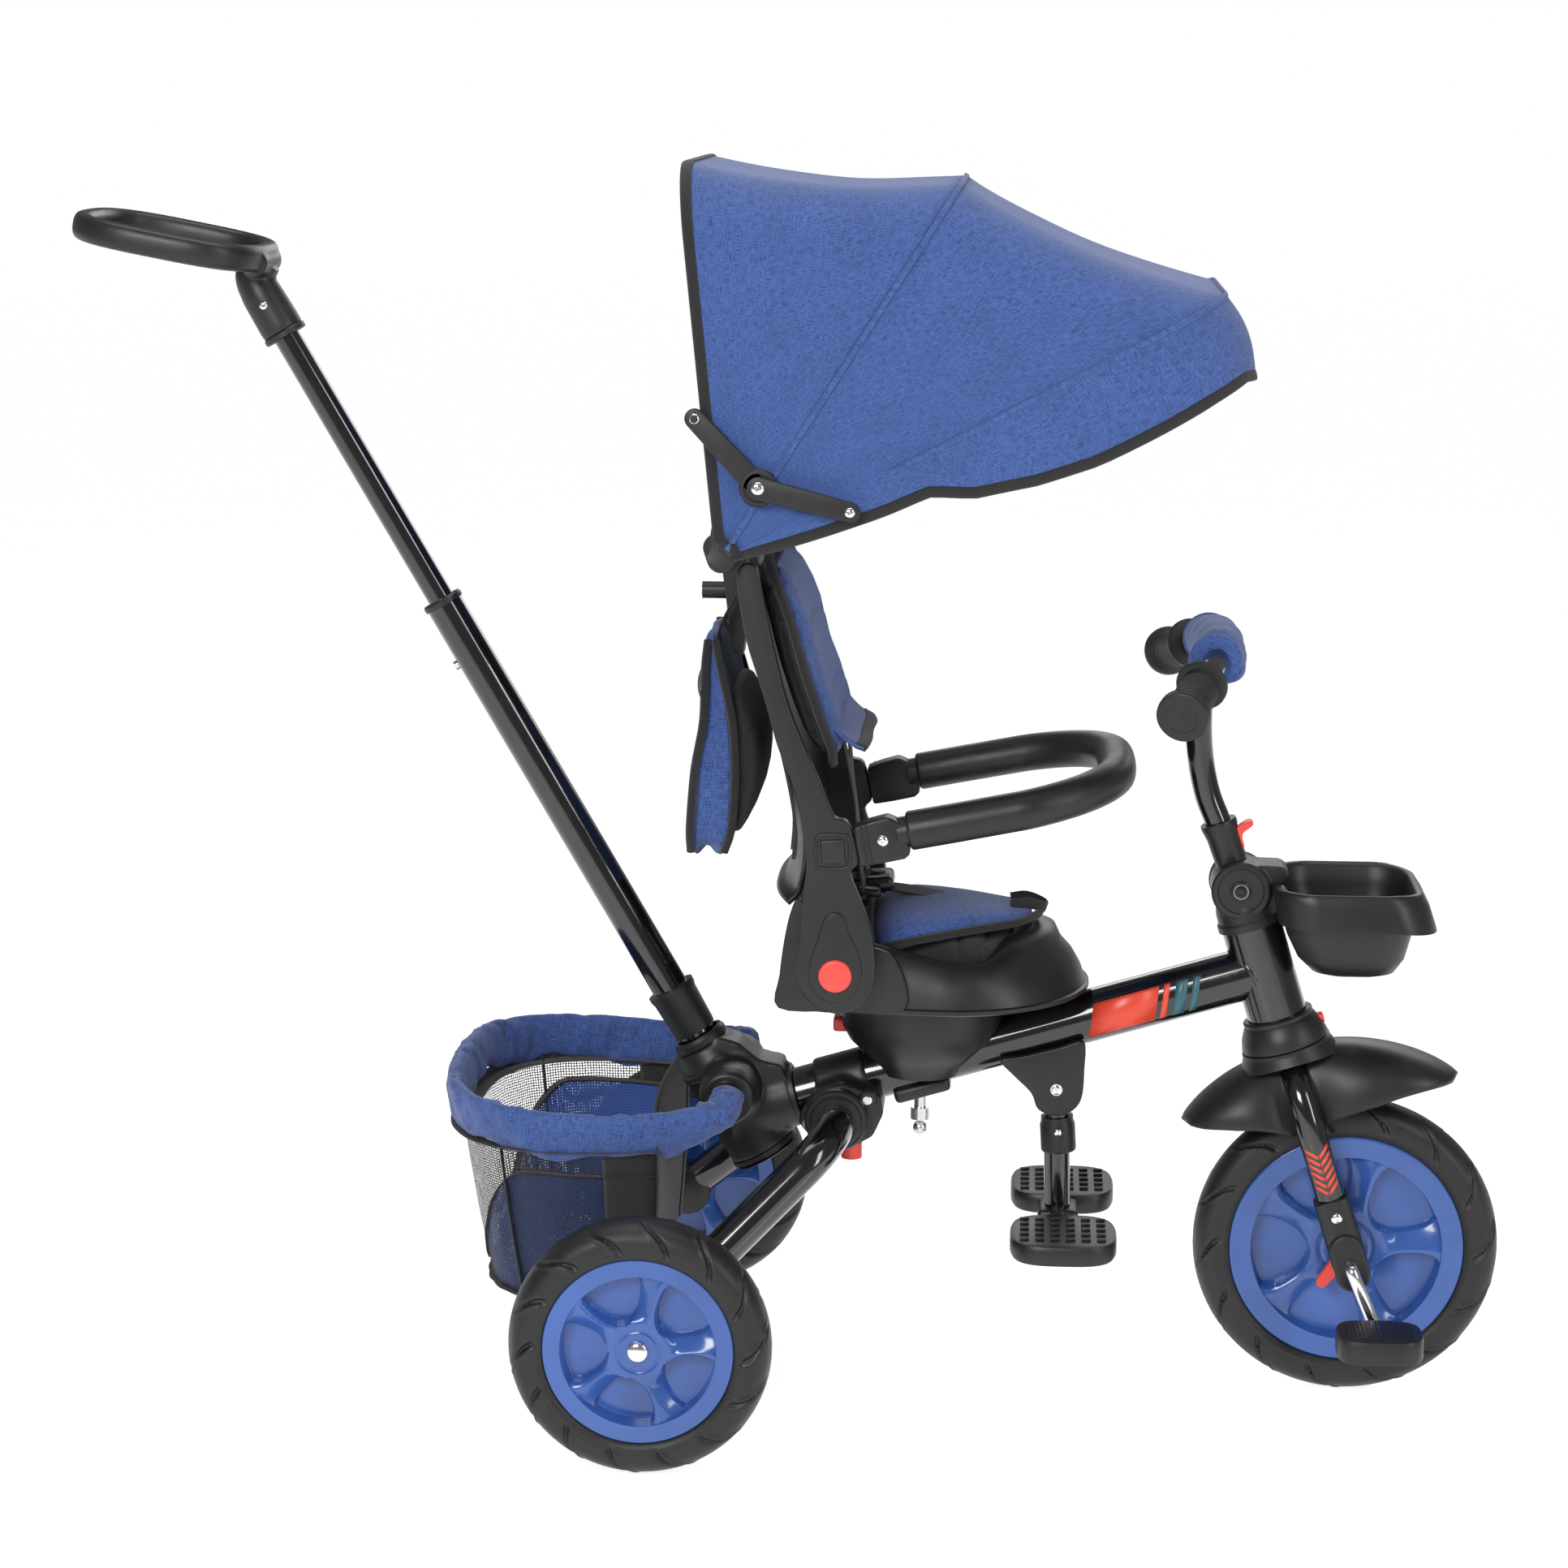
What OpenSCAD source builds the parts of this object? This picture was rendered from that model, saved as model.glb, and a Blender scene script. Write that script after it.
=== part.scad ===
// Children's push-along tricycle with a canopy, a swivel seat and folding rear legs.
// Millimetres. +X is forwards, +Y is the rider's left, +Z is up, Z = 0 is the ground.
// Places are worked out from the rear axle at X = 0, then shifted so that the
// origin is under the middle of the whole object.

/* [Wheels] */
// Front wheel diameter over the tyre
front_wheel_d = 254; // [250:1:258]
// Rear wheel diameter over the tyre
rear_wheel_d = 210; // [206:1:214]
// Distance between the front and rear axles
wheel_base = 572; // [566:1:580]
// Distance between the middle planes of the rear wheels
rear_track = 448; // [444:1:460]
// Tyre width
tyre_w = 44; // [42:1:46]

/* [Frame] */
// Tilt of the steering axis from upright, in degrees
head_angle = 17.3; // [16.8:0.1:17.8]
// Main tube diameter
main_tube_d = 44; // [42:1:45]
// Head tube diameter
head_tube_d = 50; // [48:1:52]
// Rise of the main tube towards the front, in degrees
tube_slope = 16.6; // [16.2:0.1:17]

/* [Push pole] */
// Lean of the push pole from upright, in degrees
pole_angle = 29.8; // [29:0.1:30]
// Lower pole diameter
lower_pole_d = 31; // [30:0.5:32]
// Upper pole diameter
upper_pole_d = 22; // [20:0.5:23]
// Length of the push handle's ring
handle_ring_l = 160; // [150:1:170]
// Width of the push handle's ring
handle_ring_w = 168; // [150:2:180]

/* [Seat] */
// Width of the seat shell
seat_w = 224; // [216:2:226]
// Height of the seat shell's lower edge above the ground
seat_bottom_z = 348; // [347:1:352]
// Lean of the backrest's upper rails from upright, in degrees
back_lean = 16; // [14:0.5:17]

/* [Canopy] */
// Width of the canopy over its sides
canopy_w = 304; // [296:2:316]
// Reach of the front bow from the canopy's hubs
canopy_reach = 439; // [430:1:445]

/* [Hidden] */

$fn = 48;
hull_fn = 24;
right = -1;
left = 1;

// Clearances: a gap between pieces that pass each other, and a running fit
gap = 0.5;
fit = 0.05;

front_r = front_wheel_d / 2;
rear_r = rear_wheel_d / 2;
front_rim_r = front_r - 29.4;
rear_rim_r = rear_r - 28.8;
rim_w = tyre_w - 7;
axle_r = 5;
crank_axle_r = 6;

// A point at a distance s up the steering axis from the front axle
front_axle = [wheel_base, 0, front_r];
head_dir = [-sin(head_angle), 0, cos(head_angle)];
function head_at(s) = front_axle + s * head_dir;
crown_s = 150;
cover_foot_s = 158;
cover_top_s = 182;
collar_top_s = 206;
head_top_s = 290;
bolt_s = 321.5;
knuckle_bolt = head_at(bolt_s);

// The main tube's axis passes through this point
tube_ref = [150, 0, 259];
tube_dir = [cos(tube_slope), 0, sin(tube_slope)];
function tube_at(x) = tube_ref + (x - tube_ref[0]) / tube_dir[0] * tube_dir;

// A point at a distance s up the pole's axis from its base
pole_base = [22, 0, 305];
pole_dir = [-sin(pole_angle), 0, cos(pole_angle)];
function pole_at(s) = pole_base + s * pole_dir;
lower_pole_top_s = 412;
socket_s = 663;
handle_centre = [-318, 0, 944];
handle_tilt = 11;
handle_band_t = 16;
handle_band_h = 23;

// The outermost points along X, whose middle is the origin
handle_back_x = handle_centre[0] - handle_ring_l * cos(handle_tilt) - handle_band_h / 2 * sin(handle_tilt);
front_x = wheel_base + front_wheel_d / 2;
origin_x = (handle_back_x + front_x) / 2;

leg_pivot = [146, 0, 241];
leg_tube_r = 16;
leg_turn = 66;
leg_bend_r = 55;
leg_out = 70;
hub_y = rear_track / 2;
leg_end_y = hub_y - tyre_w / 2 - 6;
leg_end = [0, 0, rear_r];
leg_dir = (leg_end - leg_pivot) / norm(leg_end - leg_pivot);
leg_drop = norm(leg_end - leg_pivot);

fork_y = 42;
fork_leg_r = 11;
crank_l = 52;
crank_angle = -67;
crank_y = 72;
pedal_size = [70, 56, 21];

footrest_x = 331;
footrest_bolt = [328, 0, 263];
peg_size = [88, 88, 20];
peg_top_z = 156;
peg_hinge_y = 24;

seat_axis_x = 214;
seat_front_x = 352;
seat_rear_x = 98;
recline_pin = [149, 0, 385];
lobe_r = 34;
lobe_in = 118.6;
lobe_out = 132;
bumper_pin = [186.5, 0, 496];
bumper_y = 120;
bumper_foam_r = 16;
bumper_reach = 190;
bumper_rise = 11;

rail_foot = [139, 0, 505];
rail_l = 203.8;
back_dir = [-sin(back_lean), 0, cos(back_lean)];

canopy_hub = [60, 0, 722];
hub_r = 14;
side_y = canopy_w / 2;
bow_r = 3.5;
rear_bow = [95.5, 306];
mid_bow = [57.4, 342];
front_bow = [27.5, canopy_reach];
visor_edge = [18.3, canopy_reach - 2];
bow_corner_r = 62;
cover_t = 2;
link_a = [41, 0, 832];
link_b = [90, 0, 779];
link_c = [161, 0, 761];
link_y = side_y + 4;
link_t = 3.6;

basket_x = [-172, 8];
basket_half_w = 148;
basket_rim_z = 262;
basket_bottom_z = 100;

// A ball at a pipe's joint is this much larger than the pipe, so that they merge
joint_swell = 1.02;

// ---------- helpers ----------

module place() {
    translate([-origin_x, 0, 0]) children();
}

// A round bar from a to b
module bar(a, b, r, bore = 0) {
    d = b - a;
    l = norm(d);
    translate(a)
        rotate([0, acos(d[2] / l), atan2(d[1], d[0])])
            difference() {
                cylinder(h = l, r = r);
                if (bore > 0)
                    translate([0, 0, -1])
                        cylinder(h = l + 2, r = bore);
            }
}

// Bars joined by balls through a list of points
module pipe(points, r) {
    for (i = [0 : len(points) - 2])
        bar(points[i], points[i + 1], r);
    for (i = [1 : len(points) - 2])
        translate(points[i]) sphere(r = r * joint_swell);
}

// Children placed on the steering axis, their Z up the axis
module on_head(s) {
    translate(head_at(s)) rotate([0, -head_angle, 0]) children();
}

// Children placed on the push pole's axis, their Z up the pole
module on_pole(s) {
    translate(pole_at(s)) rotate([0, -pole_angle, 0]) children();
}

// Children placed on the main tube's axis, their X along the tube
module on_tube(x) {
    translate(tube_at(x)) rotate([0, -tube_slope, 0]) children();
}

// A cylinder across the tricycle between two values of Y
module across(p, y0, y1, r) {
    translate([p[0], y0, p[2]])
        rotate([-90, 0, 0])
            cylinder(h = y1 - y0, r = r);
}

// An outline in X and Z, given a thickness along Y
module side_plate(y0, y1) {
    translate([0, y1, 0])
        rotate([90, 0, 0])
            linear_extrude(height = y1 - y0) children();
}

// Two discs joined by their outer tangents, in the plane of the outline
module strap(a, ra, b, rb) {
    d = norm(b - a);
    base = atan2(b[1] - a[1], b[0] - a[0]);
    turn = acos((ra - rb) / d);
    u = [cos(base + turn), sin(base + turn)];
    v = [cos(base - turn), sin(base - turn)];
    translate(a) circle(r = ra);
    translate(b) circle(r = rb);
    polygon([a + ra * u, b + rb * u, b + rb * v, a + ra * v]);
}

function xz(p) = [p[0], p[2]];

// A torus piece: an arc of a round bar, turned about local Z from 0 to angle
module arc_bar(bend_r, r, angle) {
    rotate_extrude(angle = angle)
        translate([bend_r, 0]) circle(r = r);
}

// A flat slab with rounded upright edges, centred on X and Y
module round_slab(size, r) {
    x = size[0] / 2 - r;
    y = size[1] / 2 - r;
    linear_extrude(height = size[2]) {
        for (sx = [-1, 1], sy = [-1, 1])
            translate([sx * x, sy * y]) circle(r = r);
        square([size[0], 2 * y], center = true);
        square([2 * x, size[1]], center = true);
    }
}

// The same piece on both sides of the middle plane
module both_sides() {
    children();
    mirror([0, 1, 0]) children();
}

// Children kept on the one side that is asked for, drawn for the right
module one_side(side) {
    mirror([0, side == left ? 1 : 0, 0]) children();
}

// ---------- frame ----------

module main_frame() place() color("black") {
    difference() {
        union() {
            on_tube(62) rotate([0, 90, 0]) cylinder(h = 445, r = main_tube_d / 2);
            on_head(collar_top_s) cylinder(h = head_top_s - collar_top_s - gap, r = head_tube_d / 2);
        }
        on_tube(61) rotate([0, 90, 0]) cylinder(h = 418, r = main_tube_d / 2 - 2);
        on_head(collar_top_s - 1) cylinder(h = head_top_s - collar_top_s + 2, r = 16);
        across(leg_pivot, -40, 40, 8 + fit);
        translate([seat_axis_x, 0, 200]) cylinder(h = 200, r = 5 + fit);
    }
}

module rear_housing() place() color("dimgray") {
    difference() {
        union() {
            on_pole(-122) cylinder(h = 94, r = 29);
            on_pole(-34) cylinder(h = 18.5, r1 = 28.6, r2 = 22);
            on_tube(70) rotate([0, 90, 0]) cylinder(h = 38, r = 26);
            both_sides() across([55, 0, 256], 15, 72, 18);
        }
        on_pole(-60) cylinder(h = 80, r = lower_pole_d / 2 + 0.6);
        on_tube(58) rotate([0, 90, 0]) cylinder(h = 90, r = main_tube_d / 2 + fit);
    }
}

module frame_screws() place() color("silver") {
    on_tube(101) translate([0, 0, 26.1]) cylinder(h = 2.5, r = 5);
    both_sides()
        for (p = [[121, 0, 236], [171, 0, 257]])
            across(p, -50, -46, 3.4);
    translate([seat_axis_x, 0, 0]) {
        translate([0, 0, 228]) cylinder(h = 10, r = 8);
        translate([0, 0, 238]) cylinder(h = 122, r = 5);
        translate([0, 0, 220]) sphere(r = 6);
    }
    across(footrest_bolt, -28, -25.2, 5);
    across(footrest_bolt, 25.2, 28, 5);
    across(footrest_bolt, -25.2, 25.2, 3.5);
}

module leg_clamp() place() color("dimgray") {
    difference() {
        union() {
            across(leg_pivot, -62, 62, 21);
            side_plate(-46, 46) {
                strap([122.6, 235.3], 8.7, [176, 252], 10);
                strap([146, 226], 18, [160, 224], 10);
            }
            on_tube(128) rotate([0, 90, 0]) cylinder(h = 44, r = main_tube_d / 2 + 2);
        }
        on_tube(100) rotate([0, 90, 0]) cylinder(h = 100, r = main_tube_d / 2 + fit);
        across(leg_pivot, -63, 63, leg_tube_r + fit);
        leg_button_pocket();
    }
}

leg_button_at = [158, -46, 214];

module leg_button_pocket() {
    translate([leg_button_at[0], leg_button_at[1] + 10, leg_button_at[2] - 10])
        cylinder(h = 17, r = 9 + gap);
}

module leg_release_button() place() color("tomato") {
    translate([leg_button_at[0], leg_button_at[1] + 10, leg_button_at[2] - 8]) {
        cylinder(h = 11, r = 9);
    }
}

module head_collar() place() color("dimgray") {
    difference() {
        on_head(cover_top_s + gap)
            cylinder(h = collar_top_s - cover_top_s - gap, r1 = 36.5, r2 = 27.5);
        on_head(cover_top_s - 1) cylinder(h = 30, r = 18);
        lock_button_pocket();
    }
}

module lock_button_pocket() {
    on_head(collar_top_s - 12)
        rotate([0, 90, 0])
            translate([0, 0, 24]) cylinder(h = 20, r = 5.5);
}

module steering_lock_button() place() color("tomato") {
    on_head(collar_top_s - 12)
        rotate([0, 90, 0])
            translate([0, 0, 27]) cylinder(h = 9, r = 5);
}

module footrest_bracket() place() color("dimgray") {
    difference() {
        union() {
            both_sides()
                side_plate(main_tube_d / 2 + 0.3, 25) {
                    polygon([[281, 287], [350, 305], [349, 262], [308, 258]]);
                    translate([328, 262]) circle(r = 22);
                }
            translate([304, -24, 278]) cube([44, 48, 20]);
        }
        on_tube(200) rotate([0, 90, 0]) cylinder(h = 200, r = main_tube_d / 2 + fit);
        across(footrest_bolt, -40, 40, 3.5 + fit);
    }
}

module swivel_base() place() color("dimgray") {
    difference() {
        translate([seat_axis_x, 0, 0]) {
            translate([0, 0, 290]) cylinder(h = seat_bottom_z - 290 - gap, r1 = 48, r2 = 68);
            translate([0, 0, 262]) cylinder(h = 28, r1 = 30, r2 = 48);
        }
        on_tube(100) rotate([0, 90, 0]) cylinder(h = 300, r = main_tube_d / 2 + fit);
        translate([seat_axis_x, 0, 230]) cylinder(h = 200, r = 5 + fit);
        swivel_lever_slot();
    }
}

module swivel_lever_slot() {
    translate([138, -13, 304]) cube([40, 26, 14]);
}

module swivel_lever() place() color("tomato") {
    translate([141, -12, 305]) cube([30, 24, 12]);
}

// ---------- rear basket ----------

// The basket's outline, grown or shrunk: a D that is flat towards the pole
module basket_outline(grow) {
    x0 = basket_x[0] - grow;
    x1 = basket_x[1] + grow;
    w = basket_half_w + grow;
    r = 95 + grow;
    for (s = [-1, 1])
        translate([x0 + r, s * (w - r)]) circle(r = r);
    translate([x0, r - w]) square([r, 2 * (w - r)]);
    translate([x0 + r, -w]) square([x1 - x0 - r, 2 * w]);
}

module rear_basket() place() color("royalblue") {
    translate([0, 0, basket_rim_z - 14])
        linear_extrude(height = 28)
            difference() {
                basket_outline(0);
                basket_outline(-14);
            }
    difference() {
        hull() {
            translate([0, 0, basket_rim_z - 14])
                linear_extrude(height = 4) basket_outline(-3, $fn = hull_fn);
            translate([0, 0, basket_bottom_z])
                linear_extrude(height = 3) basket_outline(-42, $fn = hull_fn);
        }
        hull() {
            translate([0, 0, basket_rim_z - 10])
                linear_extrude(height = 1) basket_outline(-15, $fn = hull_fn);
            translate([0, 0, basket_bottom_z + 4])
                linear_extrude(height = 1) basket_outline(-46, $fn = hull_fn);
        }
    }
    both_sides() {
        bar([0, 138, basket_rim_z], [55, 112, basket_rim_z - 5], 6.5);
        across([55, 0, basket_rim_z - 6], 73, 116, 6.4);
    }
}

// ---------- push pole ----------

module lower_pole() place() color("black") {
    on_pole(-56) difference() {
        cylinder(h = lower_pole_top_s + 56, r = lower_pole_d / 2);
        translate([0, 0, -1]) cylinder(h = lower_pole_top_s + 60, r = lower_pole_d / 2 - 1.5);
        translate([0, 0, 56 + lower_pole_top_s - 50]) rotate([0, -90, 0]) cylinder(h = 30, r = 4 + fit);
    }
}

module pole_fittings() place() color("dimgray") {
    difference() {
        on_pole(-4) cylinder(h = 42, r1 = 17.5, r2 = 20);
        on_pole(-10) cylinder(h = 60, r = lower_pole_d / 2 + fit);
    }
    difference() {
        union() {
            on_pole(lower_pole_top_s) cylinder(h = 4, r = lower_pole_d / 2 + 1.2);
            on_pole(lower_pole_top_s - 40) cylinder(h = 40, r = lower_pole_d / 2 - 1.6);
        }
        on_pole(lower_pole_top_s - 41) cylinder(h = 60, r = upper_pole_d / 2 + 0.1);
        on_pole(lower_pole_top_s - 50) rotate([0, -90, 0]) cylinder(h = 30, r = 4.5);
    }
}

module pole_lock_button() place() color("silver") {
    on_pole(lower_pole_top_s - 50)
        rotate([0, -90, 0])
            translate([0, 0, lower_pole_d / 2 - 0.5]) cylinder(h = 3.5, r = 4);
}

module upper_pole() place() color("black") {
    on_pole(lower_pole_top_s - 60)
        difference() {
            cylinder(h = socket_s + 40 - lower_pole_top_s + 60, r = upper_pole_d / 2);
            translate([0, 0, -1])
                cylinder(h = socket_s + 42 - lower_pole_top_s + 60, r = upper_pole_d / 2 - 1.2);
        }
}

// The ring's outline, drawn flat and centred on the neck's end
module handle_ring_outline(inset) {
    l = handle_ring_l - 2 * inset;
    w = handle_ring_w - 2 * inset;
    r = w * 0.42;
    for (sx = [0, 1], sy = [-1, 1])
        translate([-inset - r - sx * (l - 2 * r), sy * (w / 2 - r)]) circle(r = r);
    translate([-inset - l, -(w / 2 - r)]) square([l, w - 2 * r]);
    translate([-inset - l + r, -w / 2]) square([l - 2 * r, w]);
}

module push_handle() place() color("dimgray") {
    difference() {
        union() {
            on_pole(socket_s) cylinder(h = 50, r = 17);
            on_pole(socket_s + 45) cylinder(h = 27, r1 = 16.6, r2 = 12);
        }
        on_pole(socket_s - 1) cylinder(h = 42, r = upper_pole_d / 2 + fit);
    }
    translate(handle_centre)
        rotate([0, handle_tilt, 0])
            translate([0, 0, -handle_band_h / 2])
                difference() {
                    linear_extrude(height = handle_band_h) handle_ring_outline(0);
                    translate([0, 0, -1])
                        linear_extrude(height = handle_band_h + 2)
                            handle_ring_outline(handle_band_t);
                }
}

// ---------- rear legs and wheels ----------

// A point on a leg's middle line: along the leg from its pivot, and out to the side
function leg_point(along, y) = leg_pivot + along * leg_dir + [0, y, 0];

module rear_legs() place() color("black") {
    bend = [for (t = [0 : 1 / 4 : 1])
        leg_point(leg_bend_r * (1 - cos(t * leg_turn)), leg_out + leg_bend_r * sin(t * leg_turn))];
    both_sides() {
        pipe(concat([leg_point(0, 23)], bend, [leg_point(leg_drop - 8, leg_end_y - 12)]), leg_tube_r);
        across(leg_end, leg_end_y - 34, leg_end_y, 21);
        across(leg_end, leg_end_y - 1, hub_y + rim_w / 2 + 3, axle_r);
    }
    across(leg_pivot, -24, 24, 8);
}

// One tyre about the Y axis, centred on Y = 0
module tyre(outer_r, inner_r) {
    crown = 15;
    rotate([90, 0, 0])
        rotate_extrude($fn = 96) {
            translate([inner_r, -rim_w / 2]) square([6, rim_w]);
            translate([inner_r + 5, -tyre_w / 2]) square([outer_r - inner_r - 5 - crown, tyre_w]);
            translate([inner_r + 5, -tyre_w / 2 + crown])
                square([outer_r - inner_r - 5, tyre_w - 2 * crown]);
            for (s = [-1, 1])
                translate([outer_r - crown, s * (tyre_w / 2 - crown)]) circle(r = crown);
        }
}

// One spoked rim about the Y axis, centred on Y = 0
module rim(outer_r, bore_r) {
    ring_t = 15;
    hub_boss_r = 19;
    inner_r = outer_r - ring_t;
    rotate([90, 0, 0])
        difference() {
            union() {
                rotate_extrude($fn = 96) {
                    translate([inner_r, -rim_w / 2]) square([ring_t, rim_w]);
                    translate([0, -3]) square([inner_r + 1, 6]);
                    translate([0, -rim_w / 2]) square([hub_boss_r, rim_w]);
                }
                for (i = [0 : 4])
                    rotate([0, 0, 72 * i + 8])
                        translate([0, 0, -rim_w / 2 + 4])
                            linear_extrude(height = rim_w - 8)
                                polygon([[10, -7], [inner_r + 2, -13], [inner_r + 2, 13], [10, 7]]);
            }
            translate([0, 0, -50]) cylinder(h = 100, r = bore_r);
        }
}

module rear_tyre(side) place() color("black")
    translate([0, side * hub_y, rear_r]) tyre(rear_r, rear_rim_r);

module rear_rim(side) place() color("royalblue")
    translate([0, side * hub_y, rear_r]) rim(rear_rim_r, axle_r + fit);

// ---------- fork ----------

module fork() place() color("black") {
    on_head(crown_s) cylinder(h = head_top_s - crown_s + 4, r = 14);
    on_head(crown_s) {
        translate([-15, -fork_y, 0]) cube([30, 2 * fork_y, 12]);
        both_sides()
            translate([0, fork_y, 0]) sphere(r = fork_leg_r + 0.6);
    }
    difference() {
        union() {
            both_sides()
                bar(head_at(-8) + [0, fork_y, 0], head_at(crown_s) + [0, fork_y, 0], fork_leg_r);
        }
        across(front_axle, -80, 80, crank_axle_r + fit);
    }
}

fender_crown_r = 174;
fender_skirt_r = 146;
fender_half_w = 43;
fender_t = 3;

// The fender's section swept round the front wheel, filled, shrunk by in_set
module fender_blank(in_set) {
    w = fender_half_w - in_set;
    r = fender_crown_r - in_set;
    foot = fender_skirt_r - (in_set > 0 ? 40 : 0);
    translate(front_axle)
        rotate([90, 0, 0])
            rotate([0, 0, 59])
                rotate_extrude(angle = 84, $fn = 128)
                    polygon([[foot, -w], [r - 20, -w], [r - 6, 14 - w], [r, 26 - w],
                        [r, w - 26], [r - 6, w - 14], [r - 20, w], [foot, w]]);
}

module crown_cover() place() color("dimgray") {
    difference() {
        on_head(cover_foot_s) cylinder(h = cover_top_s - cover_foot_s, r1 = 42.5, r2 = 36.5);
        fender_blank(-0.3);
        on_head(100) cylinder(h = 120, r = 14 + fit);
        on_head(crown_s - 1) translate([-15.5, -fork_y - 0.5, 0]) cube([31, 2 * fork_y + 1, 13.5]);
        both_sides()
            bar(head_at(100) + [0, fork_y, 0], head_at(crown_s + 12.3) + [0, fork_y, 0], fork_leg_r + 1.3);
    }
}

module fender() place() color("dimgray") {
    difference() {
        fender_blank(0);
        fender_blank(fender_t);
        on_head(100) cylinder(h = 120, r = 14 + fit);
        both_sides()
            bar(head_at(90) + [0, fork_y, 0], head_at(172) + [0, fork_y, 0], fork_leg_r + 1);
        on_head(crown_s - 1) translate([-16, -60, 0]) cube([32, 120, 14]);
    }
}

module fork_ends() place() color("dimgray") {
    difference() {
        both_sides() {
            bar(head_at(-6) + [0, fork_y, 0], head_at(58) + [0, fork_y, 0], 13.5);
            side_plate(fork_y, fork_y + 20)
                strap(xz(head_at(-8)), 14.5, xz(head_at(8)), 14.5);
        }
        both_sides()
            bar(head_at(-9) + [0, fork_y, 0], head_at(70) + [0, fork_y, 0], fork_leg_r + fit);
        across(front_axle, -80, 80, crank_axle_r + fit);
    }
}

module knuckle_base() place() color("dimgray") {
    difference() {
        union() {
            across(knuckle_bolt, -24, 24, 23.5);
            on_head(head_top_s) cylinder(h = 22, r = 25);
            side_plate(-20, 20) strap(xz(knuckle_bolt) + [4, -6], 16, [494, 424], 9);
        }
        translate([knuckle_bolt[0] - 60, -12, knuckle_bolt[2] - 24]) cube([120, 24, 90]);
        on_head(head_top_s - 1) cylinder(h = 8, r = 14 + fit);
        across(knuckle_bolt, -40, 40, 4);
    }
}

module fork_screws() place() color("silver") {
    across(knuckle_bolt, -26.5, -24, 6);
    across(knuckle_bolt, 24, 26.5, 6);
    across(knuckle_bolt, -24, 24, 4 - fit);
    both_sides()
        across(head_at(42), 55.6, 58, 4.5);
}

module front_basket() place() color("dimgray") {
    rim_z = 441;
    difference() {
        union() {
            hull() {
                translate([563, 0, rim_z - 16]) round_slab([118, 128, 16], 34, $fn = hull_fn);
                translate([570, 0, 364]) round_slab([62, 76, 4], 24, $fn = hull_fn);
            }
            hull() {
                translate([563, 0, rim_z - 4]) round_slab([122, 132, 4], 36, $fn = hull_fn);
                translate([575, 0, rim_z - 34]) round_slab([120, 140, 3], 36, $fn = hull_fn);
            }
        }
        hull() {
            translate([563, 0, rim_z - 16]) round_slab([106, 116, 18], 32, $fn = hull_fn);
            translate([570, 0, 368]) round_slab([54, 68, 4], 22, $fn = hull_fn);
        }
        hull() {
            translate([563, 0, rim_z - 20]) round_slab([113, 123, 10], 32, $fn = hull_fn);
            translate([574, 0, rim_z - 40]) round_slab([112, 132, 3], 34, $fn = hull_fn);
        }
    }
    difference() {
        hull() {
            translate([563, 0, rim_z - 16]) round_slab([114, 124, 13], 34, $fn = hull_fn);
            translate([570, 0, 364]) round_slab([62, 76, 4], 24, $fn = hull_fn);
        }
        hull() {
            translate([563, 0, rim_z - 16]) round_slab([106, 116, 18], 32, $fn = hull_fn);
            translate([570, 0, 368]) round_slab([54, 68, 4], 22, $fn = hull_fn);
        }
    }
}

// ---------- handlebar ----------

sleeve_angle = 19.4;
sleeve_l = 56;
sleeve_dir = [-sin(sleeve_angle), 0, cos(sleeve_angle)];
sleeve_top = knuckle_bolt + sleeve_l * sleeve_dir;
bar_mid = [452, 0, 632];
stem_points = [knuckle_bolt + 31 * sleeve_dir, sleeve_top + 23 * sleeve_dir,
    [443, 0, 545], [442, 0, 595], bar_mid];
grip_in = [437, 102, 620];
grip_out = [419, 158, 603];
bar_r = 10.9;

module on_sleeve(s) {
    translate(knuckle_bolt)
        rotate([0, -sleeve_angle, 0])
            translate([0, 0, s]) children();
}

module stem_sleeve() place() color("dimgray") {
    difference() {
        union() {
            across(knuckle_bolt, -12 + gap, 12 - gap, 21);
            on_sleeve(10) cylinder(h = 20, r = 11.4);
            on_sleeve(24.5) cylinder(h = sleeve_l - 24.5, r = 13.5);
        }
        across(knuckle_bolt, -40, 40, 4 + fit);
        on_sleeve(30) cylinder(h = 40, r = 11.3);
        on_sleeve(24) translate([8, -5.5, 0]) cube([20, 11, 24]);
    }
}

module handlebar_lever() place() color("tomato") {
    on_sleeve(26) {
        translate([11.5, -5, 0]) cube([4.5, 10, 20]);
        translate([11.5, -5, 14]) cube([14, 10, 6]);
    }
}

module handlebar() place() color("black") {
    pipe(stem_points, bar_r);
    across(bar_mid, -40, 40, bar_r);
    both_sides()
        pipe([bar_mid + [0, 39, 0], bar_mid + [0, 40, 0], grip_in, grip_out + (grip_in - grip_out) * 0.1], bar_r);
}

module handlebar_grips() place() color("dimgray") {
    axis = (grip_out - grip_in) / norm(grip_out - grip_in);
    both_sides()
        difference() {
            union() {
                bar(grip_in, grip_out, 15);
                bar(grip_in, grip_in + 5 * axis, 20.5);
                bar(grip_out - 9 * axis, grip_out, 21);
            }
            bar(grip_in - 4 * axis, grip_out - 3 * axis, bar_r + 0.3);
        }
}

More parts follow.
